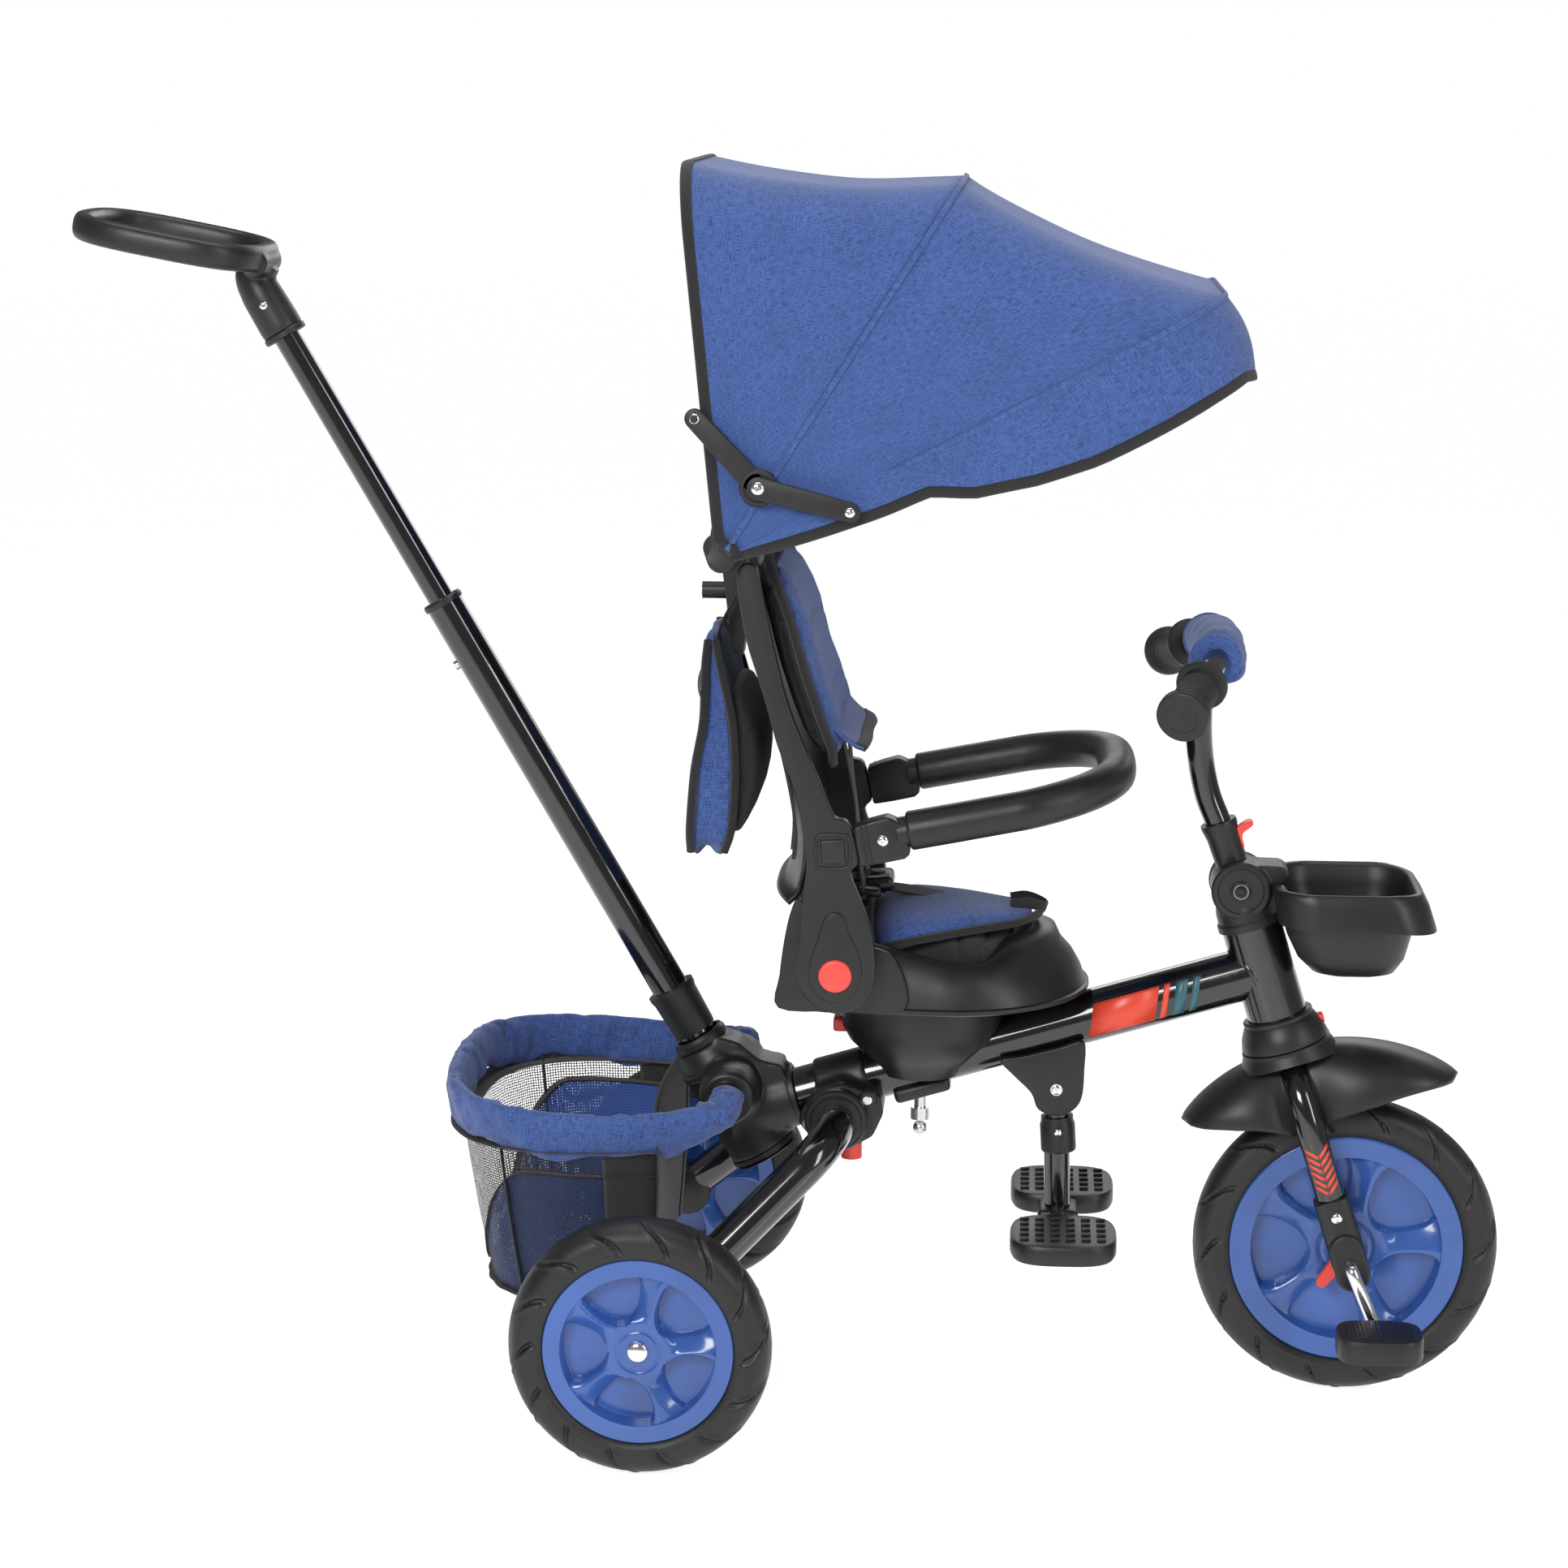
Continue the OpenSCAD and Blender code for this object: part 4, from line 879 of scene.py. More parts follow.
def swell(obj, voxel, pressure, cap, frames=18, stiff=12):
    """Fills a cushion by cloth simulation: pressure inside, no gravity, movement capped."""
    material = obj.data.materials[0]
    remesh = obj.modifiers.new("remesh", "REMESH")
    remesh.mode = "VOXEL"
    remesh.voxel_size = voxel / 1000
    bake(obj)
    before = np.array([v.co for v in obj.data.vertices], float)
    cloth = obj.modifiers.new("cloth", "CLOTH")
    settings = cloth.settings
    settings.quality = 6
    settings.mass = 0.25
    settings.tension_stiffness = stiff
    settings.compression_stiffness = stiff
    settings.shear_stiffness = stiff / 2
    settings.bending_stiffness = 0.6
    settings.use_pressure = True
    settings.uniform_pressure_force = pressure
    settings.effector_weights.gravity = 0
    cloth.point_cache.frame_start = 1
    cloth.point_cache.frame_end = frames
    scene = bpy.context.scene
    for frame_number in range(1, frames + 1):
        scene.frame_set(frame_number)
    bake(obj)
    scene.frame_set(1)
    after = np.array([v.co for v in obj.data.vertices], float)
    move = after - before
    length = np.linalg.norm(move, axis=1)
    keep = np.minimum(1, cap / 1000 / np.maximum(length, 1e-9))
    obj.data.vertices.foreach_set("co", (before + move * keep[:, None]).ravel())
    smooth = obj.modifiers.new("smooth", "SMOOTH")
    smooth.iterations = 4
    subdivision = obj.modifiers.new("subdivision", "SUBSURF")
    subdivision.levels = 1
    bake(obj)
    obj.data.materials.clear()
    obj.data.materials.append(material)
    obj.data.shade_smooth()
    return obj


def box_uv(obj):
    """UVs in metres, from whichever way each face looks most, so that a weave keeps its size."""
    mesh = obj.data
    layer = mesh.uv_layers.get("UVMap") or mesh.uv_layers.new(name="UVMap")
    for polygon in mesh.polygons:
        n = [abs(c) for c in polygon.normal]
        away = n.index(max(n))
        u_axis, v_axis = ((1, 2), (0, 2), (0, 1))[away]
        for loop in polygon.loop_indices:
            co = mesh.vertices[mesh.loops[loop].vertex_index].co
            layer.data[loop].uv = (co[u_axis], co[v_axis])
    return obj


# ---------- rear basket ----------

BASKET_RIM = [(57, 76, 268), (58, 98, 264), (50, 113, 260), (30, 124, 257), (0, 136, 255), (-50, 146, 256),
              (-100, 142, 259), (-140, 122, 262), (-164, 84, 265), (-172, 40, 266), (-173, 0, 266)]
BASKET_WALL = [(6, 132), (-50, 142), (-100, 138), (-138, 118), (-160, 82), (-168, 40), (-169, 0)]
BASKET_TOP_Z, BASKET_FOOT_Z = 250, 101


def mirrored(points):
    """Points on the left, carried round through the middle and on to the right."""
    left = [tuple(p) for p in points]
    return left + [(p[0], -p[1], *p[2:]) for p in reversed(left[:-1])]


def basket_wall_rows(path, z_top, z_foot, shrink, count):
    """Rows of the basket's side, drawn in towards its foot and bellied between its seams."""
    rows = []
    for i in range(count + 1):
        t = i / count
        z = mix(z_top, z_foot, t)
        row = []
        for k, (x, y) in enumerate(path):
            inward = 1 - shrink * t
            belly = (1 + 0.02 * math.sin(math.pi * t)
                     + 0.006 * math.sin(k * 0.9) * math.sin(2.4 * math.pi * t))
            row.append(np.array(((x + 80) * inward * belly - 80 + 8 * t, y * inward * belly, z)))
        rows.append(row)
    return rows


def make_rear_basket():
    path = curve_through(mirrored(BASKET_RIM), 14)
    count = len(path)
    rows = []
    frames = frames_along(path, False, (0, 0, 1))
    for i, (p, (_, up, out)) in enumerate(zip(path, frames)):
        from_end = min(i, count - 1 - i) / 14
        spread = ease((from_end - 1.6) / 2.4)
        wide = mix(12.5, 7.2, spread)
        tall = mix(13, 19.5, spread)
        drop = mix(0, -5, spread)
        tip = math.sqrt(max(0.02, min(1, (min(i, count - 1 - i) + 0.4) / 5)))
        row = []
        for j in range(36):
            a = 2 * math.pi * j / 36
            crease = (1.1 * math.sin(0.33 * i + 2.6 * math.sin(a))
                      + 1.3 * math.sin(0.62 * i + 3 * a + 0.8 * math.sin(0.17 * i))
                      + 0.9 * math.sin(1.1 * i - 2 * a) + 0.7 * math.sin(1.9 * i + 5 * a))
            crease *= 0.55 + 0.45 * math.sin(0.23 * i + a)
            sag = (3.4 * math.sin(0.19 * i + 1) + 1.6 * math.sin(0.47 * i)) * spread
            c, s = math.cos(a), math.sin(a)
            w = wide * math.copysign(abs(c) ** 0.8, c) + crease * math.copysign(0.9, c)
            h = tall * math.copysign(abs(s) ** 0.8, s) + crease * 0.4
            low = min(0, s) * sag
            row.append(p + tip * (w * out + (h + low) * up) + drop * np.array((0, 0, 1)))
        rows.append(row)
    sleeve = lattice("basket_sleeve", [[at(*q) for q in row] for row in rows], FABRIC, wrap_columns=True,
                     caps=True, sharp=80)
    put(sleeve, "frame", "blue_fabric", "rear_basket")
    wall = [tuple(p) for p in curve_through(mirrored([(x, y, 0) for x, y in BASKET_WALL]), 10)]
    wall = [(p[0], p[1]) for p in wall]
    rows = basket_wall_rows(wall, BASKET_TOP_Z, BASKET_FOOT_Z, 0.17, 14)
    mesh = lattice("basket_mesh", placed(rows), MESH, sharp=80)
    put(mesh, "frame", "blue_fabric", "rear_basket")
    binding("basket_tape_top", [p + np.array((0, 0, -14)) for p in rows[0]], "frame", 20, 1.6)
    binding("basket_tape_foot", rows[-1], "frame", 9, 3)
    front_edge = [row[0] for row in rows]
    front_back = [row[-1] for row in rows]
    binding("basket_tape_left", front_edge, "frame", 16, 2)
    binding("basket_tape_right", front_back, "frame", 16, 2)
    seam = len(wall) // 4
    for index, word in ((seam - 4, "left"), (len(wall) - 1 - seam + 4, "right")):
        binding("basket_tape_corner_" + word, [row[index] * np.array((1.002, 1.004, 1)) for row in rows],
                "frame", 9, 1.6)
    for columns, word in ((range(0, 9), "left"), (range(len(wall) - 9, len(wall)), "right")):
        part = [[row[k] * np.array((1, 1.006, 1)) for k in columns] for row in rows]
        obj = lattice("basket_end_panel_" + word, placed(part), PADDING, sharp=80)
        thicken(obj, 1.2)
        put(obj, "frame", "black_foam")
    make_basket_lining(wall, rows)


def make_basket_lining(wall, rows):
    """The blue inner panel on each side, its upper edge an arc, and the basket's floor and front."""
    count = len(wall)
    for side, word in ((LEFT, "left"), (RIGHT, "right")):
        columns = (list(range(0, count // 2 - 6)) if side == LEFT
                   else list(range(count - 1, count - 1 - (count // 2 - 6), -1)))
        panel, hem = [], []
        steps = 12
        for i in range(steps + 1):
            row = []
            for k, column in enumerate(columns):
                share = k / (len(columns) - 1)
                top = (mix(0.22, 0.92, ease((share - 0.38) / 0.55)) if share > 0.38 else 0.22
                       + 0.06 * (0.38 - share))
                t = mix(top, 0.99, i / steps)
                low = rows[min(int(t * 14), 13)][column]
                high = rows[min(int(t * 14) + 1, 14)][column]
                p = low + (high - low) * (t * 14 - int(t * 14))
                q = np.array((mix(p[0], -80, 0.018), p[1] * 0.982, p[2]))
                row.append(q)
                if i == 0:
                    hem.append(np.array((mix(p[0], -80, 0.012), p[1] * 0.988, p[2])))
            panel.append(row)
        lining = lattice("basket_lining_" + word, placed(panel), BLUE_MESH, sharp=80)
        put(lining, "frame", "blue_fabric")
        binding("basket_lining_hem_" + word, hem, "frame", 8, 1.4)
    foot = rows[-1]
    centre = np.array((-80, 0, BASKET_FOOT_Z - 1))
    floor_rows = []
    for i in range(9):
        share = i / 8
        floor_rows.append([centre + (p - centre) * (1 - share) * 0.99 + np.array((0, 0, -2.5 * share))
                           + share * 1e-3 for p in foot])
    floor = lattice("basket_floor", placed(floor_rows), BLUE_MESH, sharp=80)
    put(floor, "frame", "blue_fabric")
    left_edge, right_edge = [row[0] for row in rows], [row[-1] for row in rows]
    front = []
    for a, b in zip(left_edge, right_edge):
        row = []
        for k in range(25):
            share = k / 24
            p = a * (1 - share) + b * share
            row.append(p + np.array((-9 * math.sin(math.pi * share), 0, 0)))
        front.append(row)
    panel = lattice("basket_front_panel", placed(front), PADDING, sharp=80)
    put(panel, "frame", "blue_fabric")
    binding("basket_tape_front", [p + np.array((0, 0, -8)) for p in front[0]], "frame", 18, 2)


# ---------- seat, backrest and cushions ----------

SEAT_X = 214


def seat_plan(count):
    """The seat's outline seen from above, evenly spaced, with its outward direction: (x, y, nx, ny)."""
    circles = [(150, 54, 52), (150, -54, 52), (240, 0, 112)]
    loop = []
    for k in range(720):
        a = math.radians(k / 2)
        d = (math.cos(a), math.sin(a))
        x, y, r = max(circles, key=lambda c: c[0] * d[0] + c[1] * d[1] + c[2])
        loop.append((x + r * d[0], y + r * d[1], d[0], d[1]))
    lengths = [0.0]
    for a, b in zip(loop, loop[1:] + loop[:1]):
        lengths.append(lengths[-1] + math.hypot(b[0] - a[0], b[1] - a[1]))
    loop.append(loop[0])
    result = []
    for k in range(count):
        target = lengths[-1] * k / count
        i = min(int(np.searchsorted(lengths, target, "right")) - 1, len(loop) - 2)
        share = (target - lengths[i]) / max(lengths[i + 1] - lengths[i], 1e-9)
        result.append(tuple(mix(p, q, share) for p, q in zip(loop[i], loop[i + 1])))
    return result


def seat_crest(x):
    """Height of the shell's crest: high at the back and the front, low where the legs go."""
    return table_value([(98, 404), (170, 403), (205, 394), (245, 385), (275, 386), (310, 396), (352, 402)],
                       x)


def make_seat():
    plan = seat_plan(168)
    rows = []
    profile = [(0.8, 347), (0, 347.6), (0, 350), (0.5, 353), (2, 362), (4.5, 372), (8, 381)]
    for inset, z in profile:
        row = []
        for x, y, nx, ny in plan:
            front = ease((x - 255) / 80)
            i2 = inset * (1 + 1.7 * front)
            z2 = z if z < 354 else 350 + (z - 350) * (seat_crest(x) - 352) / 42
            row.append((x - nx * i2, y - ny * i2, z2))
        rows.append(row)
    for inset, drop in ((13, 4.2), (17, 1.2), (21, 0), (25, 0.6), (29, 3), (34, 8), (40, 14), (48, 20),
                        (60, 24), (80, 26), (98, 27)):
        row = []
        for x, y, nx, ny in plan:
            front = ease((x - 255) / 80)
            i2 = min(inset * (1 + 1.15 * front * (1 - inset / 140)), 104)
            crest = seat_crest(x)
            z2 = crest - drop if drop < 5 else mix(crest - drop, 371, ease((inset - 30) / 25))
            row.append((x - nx * i2, y - ny * i2, z2))
        rows.append(row)
    shell = lattice("seat_shell_moulding", placed(rows), PLASTIC, wrap_columns=True,
                    caps=True, sharp=60)
    put(shell, "seat", "matte_black_plastic", "seat_shell")
    skirt = [[(x + nx * o, y + ny * o, z) for x, y, nx, ny in plan]
             for o, z in ((0.2, 352.5), (1.6, 351.5), (1.8, 348.6), (0.4, 347.6), (-3, 347.6), (-3, 352.5))]
    lip = lattice("seat_lip", placed(skirt), PLASTIC, wrap_rows=True, wrap_columns=True)
    put(lip, "seat", "matte_black_plastic")
    for side, word in SIDES:
        boss = lathe("seat_pivot_boss_" + word, [(27, 0), (27, 30), (25.5, 32.4), (20, 32.9), (0, 32.9)],
                     (149, side * 85, 385), (0, side, 0), PLASTIC, 56)
        put(boss, "seat", "matte_black_plastic")
        outline = smooth_outline([(102, 352), (103, 380), (107, 410), (112, 432), (118, 443), (126, 436),
                                  (140, 418), (168, 406), (196, 394), (204, 352), (150, 350)], 4)
        cheek = plate("seat_cheek_" + word, outline, *sorted((side * 104.5, side * 112)), PLASTIC, 2.6)
        put(cheek, "seat", "matte_black_plastic")
    bowl = lathe("swivel_bowl", [(66, 0), (68, -1), (68, -7), (67.6, -29), (66, -36), (60, -47), (48, -59),
                                 (38, -69), (34, -77), (20, -80), (0, -81)], (SEAT_X, 0, 347), (0, 0, 1),
                                 PLASTIC, 96, 40)
    put(bowl, "frame", "matte_black_plastic", "swivel_base")
    lever = block("swivel_lever_cap", (152, 0, 311), (22, 24, 12), RED, 2.5)
    put(lever, "swivel_lever", "red_plastic", "swivel_lever")
    make_seat_cushion(plan)


def make_seat_cushion(plan):
    """A black quilted pad in the shell and the blue wedge that lies on it."""
    rings = []
    for inset, z in ((50, 372), (42, 374), (38, 380), (38, 388), (43, 394)):
        rings.append([(x - nx * (inset + 8 * ease((x - 250) / 60)), y - ny * inset,
                       z - (3 if x > 300 else 0)) for x, y, nx, ny in plan[::2]])
    for inset, z in ((56, 398), (76, 399), (92, 399)):
        rings.append([(x - nx * min(inset + 6 * ease((x - 250) / 60), 96), y - ny * inset,
                       z - 2 * ease((x - 280) / 40)) for x, y, nx, ny in plan[::2]])
    pad = closed_loft("seat_pad", rings, PADDING)
    pad = swell(pad, 5, 3.0, 5)
    channels(pad, [(235, 300)], lambda v: (v.x - AXLE_X) * 1000, 22, 3.0, 405)
    box_uv(pad)
    put(pad, "seat", "black_foam", "seat_cushion")
    rings = []
    spots = [(171, 62, 390, 398), (178, 78, 390, 412), (190, 83, 392, 419), (206, 80, 395, 422),
             (228, 71, 398, 421), (252, 59, 400, 419), (275, 47, 402, 416), (292, 37, 405, 414),
             (303, 26, 407, 413), (308, 17, 408, 412)]
    for x, half, low, high in spots:
        ring = []
        for j in range(36):
            a = 2 * math.pi * j / 36
            c, s = math.cos(a), math.sin(a)
            y = half * math.copysign(abs(c) ** 0.75, c)
            z = (low + high) / 2 + (high - low) / 2 * math.copysign(abs(s) ** 0.8, s)
            z += (abs(y) / 83) ** 2 * -9
            ring.append((x, y, z))
        rings.append(ring)
    wedge = closed_loft("seat_wedge", rings, FABRIC)
    wedge = swell(wedge, 4, 2.0, 2)
    box_uv(wedge)
    put(wedge, "seat", "blue_fabric")
    edge = [(x, -h - 0.6, (lo + hi) / 2 - 8 * (h / 83) ** 2) for x, h, lo, hi in spots[1::2]]
    nose = [(312, -7, 410), (313, 0, 410)]
    path = curve_through(edge + nose + [(x, -y, z) for x, y, z in reversed(edge + nose[:1])], 8)
    put(sweep("seat_wedge_binding", path, soft_box_section(7, 5, 2.4, 14), TAPE, hint=(0, 0, 1)), "seat",
        "black_foam")
    rear = curve_through([(177, -79, 398), (174, -60, 406), (173, -30, 411), (172, 0, 413), (173, 30, 411),
                          (174, 60, 406), (177, 79, 398)], 6)
    put(sweep("seat_wedge_rear_binding", rear, soft_box_section(8, 5, 2.4, 14), TAPE, hint=(0, 0, 1)),
        "seat", "black_foam")
    loop = curve_through([(288, 14, 417), (301, 12, 419), (314, 8, 415), (317, 0, 413), (314, -8, 415),
                          (301, -12, 419), (288, -14, 417)], 6)
    put(sweep("seat_strap_loop", loop, soft_box_section(9, 2.2, 4, 12), STRAP, hint=(0, 0, 1)), "seat",
        "black_foam")
    make_harness()


def channels(obj, spans, along, pitch, depth, top_z):
    """Presses stitched grooves into the upper side of a pad, across the direction that along() measures."""
    for v in obj.data.vertices:
        place = along(v.co)
        for low, high in spans:
            if low < place < high and v.co.z * 1000 > top_z - 20:
                away = (place - low) % pitch - pitch / 2
                v.co.z -= depth / 1000 * math.exp(-(away / 2.6) ** 2)


def make_harness():
    """Shoulder and waist webbing, with its buckle lying on the seat."""
    straps = {"harness_shoulder_right": [(112, -44, 640), (131, -46, 600), (150, -46, 560), (160, -45, 515),
                                         (163, -42, 470), (166, -34, 444), (168, -22, 430)],
                                         "harness_shoulder_left": [(112, 44, 640), (131, 46, 600),
                                                 (148, 47, 560), (154, 46, 510), (160, 42, 466),
                                                 (166, 34, 444), (168, 22, 430)],
                                                 "harness_waist_right": [(135, -80, 414), (144, -64, 418),
                                                         (154, -44, 424), (164, -26, 429)],
                                                         "harness_waist_left": [(135, 80, 414),
                                                                 (144, 64, 418), (154, 44, 424),
                                                                 (164, 26, 429)], "harness_crotch": [(232,
                                                                         0, 421), (220, 0, 423),
                                                                         (204, 0, 426), (188, 0, 428)], }
    for name, points in straps.items():
        obj = sweep(name, curve_through(points, 8), soft_box_section(22, 1.8, 5, 14), STRAP,
                    hint=(0, 1, 0.1))
        if "shoulder" in name:
            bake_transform(obj)
        else:
            put(obj, "seat", "black_foam")
    base = block("buckle_body", (174, 0, 433), (34, 40, 13), SMOOTH_PLASTIC, 4.5, 6)
    put(base, "seat", "matte_black_plastic")
    for side, word in SIDES:
        tongue = block("buckle_tongue_" + word, (171, side * 27, 431), (20, 22, 7), SMOOTH_PLASTIC, 2.6, -3)
        put(tongue, "seat", "matte_black_plastic")
    button = lathe("buckle_button", [(7, 0), (7, 2), (6, 3), (3, 3.4), (0, 3.5)], (177, 0, 439),
                   (0.06, 0, 1), PLASTIC, 32)
    put(button, "seat", "matte_black_plastic")


ARM_OUTLINE = [(71, 701), (74, 678), (79, 652), (86, 629), (93, 606), (103, 570), (117, 534), (124, 501),
               (126, 476), (124, 454), (121, 415), (117, 392), (120, 374), (133, 359), (151, 353),
               (169, 360), (179, 375), (181, 396), (178, 421), (169, 446), (161, 468), (167, 479),
               (160, 508), (150, 513), (146, 518), (135, 545), (121, 578), (110, 608), (102, 640),
               (95, 672), (88, 704), (86, 714), (78, 717), (72, 711)]
TEARDROP = [(148, 437), (140, 431), (136, 417), (129, 396), (129, 378), (138, 366), (151, 363), (163, 370),
            (170, 384), (168, 402), (160, 420), (156, 433)]


def make_backrest():
    for side, word in SIDES:
        y_in, y_out = side * 118.8, side * 131.6
        arm = plate("backrest_arm_" + word, smooth_outline(ARM_OUTLINE, 5), *sorted((y_in, y_out)), PLASTIC,
                    3, 4)
        put(arm, "backrest", "matte_black_plastic", "backrest_frame")
        boss = plate("backrest_teardrop_" + word, smooth_outline(TEARDROP, 5),
                     *sorted((side * 129, side * 133.4)), PLASTIC, 1.2)
        put(boss, "backrest", "matte_black_plastic")
        button = lathe("recline_button_cap_" + word,
                       [(13.4, -2), (13.4, 3.2), (12.6, 4.6), (10.5, 5.3), (5, 5.7), (0, 5.8)],
                       (149, side * 131, 385), (0, side, 0), RED, 48)
        put(button, "recline_button_" + word, "red_plastic", "recline_button_" + word)
        square = block("bumper_button_cap_" + word, (147, side * 131.2, 486.5), (19, 4.2, 20), PLASTIC, 1.6,
                       3)
        put(square, "bumper_button_" + word, "matte_black_plastic", "bumper_button_" + word)
        ring = [(p[0], side * 131.4, p[1]) for p in smooth_outline([(134, 476), (134, 497), (140, 500),
                (154, 500), (160, 497), (160, 477), (154, 473), (140, 473)], 4)]
        bezel = sweep("bumper_button_bezel_" + word, ring, circle_section(1.5, 10), PLASTIC, closed=True,
                      hint=(0, 1, 0))
        put(bezel, "backrest", "matte_black_plastic")
    make_back_shell()
    make_back_cushion()


def make_back_shell():
    """The moulded back panel between the rails, hollowed towards the child, with a flared foot."""
    spine = [(96, 436), (106, 448), (112, 480), (110, 510), (102, 550), (91, 595), (82, 640), (75, 680),
             (72, 712)]
    middle = curve_through([(x, 0, z) for x, z in spine], 5)
    rows = []
    for i, p in enumerate(middle):
        t = i / (len(middle) - 1)
        half = mix(100, 113, ease((t - 0.12) / 0.1)) - 8 * ease((t - 0.8) / 0.2)
        row = []
        for k in range(41):
            s = 2 * k / 40 - 1
            row.append((p[0] + 13 * abs(s) ** 2.6, half * s,
                        p[2] + 5 * (1 - s * s) * ease((t - 0.85) / 0.15)))
        rows.append(row)
    shell = lattice("backrest_shell", placed(rows), PLASTIC, sharp=60)
    thicken(shell, 4)
    put(shell, "backrest", "matte_black_plastic")
    for y in (-70, -35, 35, 70):
        rib = curve_through([(p[0] - 2 + 13 * abs(y / 112) ** 2.6, y, p[2]) for p in middle[8:-6:4]], 3)
        put(sweep("backrest_rib_%d" % (y + 100), rib, soft_box_section(4, 4.5, 4, 12), PLASTIC), "backrest",
            "matte_black_plastic")


def make_back_cushion():
    """The back cushion: a black backing, a swollen blue face, a bound edge and a loose flap."""
    spots = [(548, 141, 70, 12), (560, 139, 88, 20), (575, 133, 96, 25), (600, 124, 100, 27),
             (630, 114, 100, 26), (660, 106, 98, 24), (685, 98, 94, 20), (700, 93, 87, 15),
             (710, 90, 72, 8)]
    layers = [("back_cushion_pad", FABRIC, 4.5, 0.62, "blue_fabric"),
              ("back_cushion_backing", PADDING, -6.5, 0.55, "black_foam")]
    for name, material, shift, share, finish in layers:
        rings = []
        for z, centre_x, half, thick in spots:
            ring = []
            for j in range(44):
                a = 2 * math.pi * j / 44
                c, s = math.cos(a), math.sin(a)
                y = half * math.copysign(abs(c) ** 0.62, c)
                x = (centre_x + shift + share * thick / 2 * math.copysign(abs(s) ** 0.8, s)
                     + 8 * abs(y / 100) ** 2.4)
                ring.append((x, y, z))
            rings.append(ring)
        cushion = swell(closed_loft(name, rings, material), 5, 2.2, 4)
        if material is FABRIC:
            for v in cushion.data.vertices:
                y, z = v.co.y * 1000, v.co.z * 1000
                for seam in (596, 652):
                    v.co.x -= (0.0022 * math.exp(-((z - seam - 6 * math.cos(y / 45)) / 3.4) ** 2)
                               * (1 if abs(y) < 80 else 0))
        box_uv(cushion)
        if material is FABRIC:
            put(cushion, "backrest", finish, "back_cushion")
        else:
            put(cushion, "backrest", finish)
    for side, word in SIDES:
        spine = [(x - 1 + 8 * (h / 100) ** 2.4, side * (h + 1.5), z) for z, x, h, _ in reversed(spots)]
        edge = curve_through([(91, side * 60, 714)] + spine + [(143, side * 52, 542)], 6)
        tape = sweep("back_cushion_edge_" + word, edge, soft_box_section(8, 6, 2.4, 16), TAPE,
                     hint=(1, 0, 0))
        put(tape, "backrest", "black_foam")
    top = curve_through([(91, -60, 714), (90, -30, 716), (90, 0, 717), (90, 30, 716), (91, 60, 714)], 6)
    put(sweep("back_cushion_edge_top", top, soft_box_section(9, 7, 2.4, 16), TAPE, hint=(0, 0, 1)),
        "backrest", "black_foam")
    for name, material, shrink in (("back_cushion_flap", FABRIC, 0),
                                   ("back_cushion_flap_edge", TAPE, 1)):
        rows = []
        for k in range(9):
            t = k / 8 if not shrink else mix(0.72, 1.06, k / 8)
            row = []
            for j in range(33):
                y = mix(-88, 88, j / 32) * (1 - 0.14 * t)
                x = mix(147, 172, t) + 0.8 * math.sin(j * 0.35) * t - 4 * (y / 88) ** 2
                z = (mix(580, 562, t) - 4 * t * (y / 88) ** 2 - 3 * math.sin(math.pi * min(t, 1))
                     + shrink * 0.2)
                row.append(at(x, y, z))
            rows.append(row)
        flap = lattice(name, rows, material, sharp=80)
        thicken(flap, 4.6 if shrink else 3)
        put(flap, "backrest", "blue_fabric" if material is FABRIC else "black_foam")


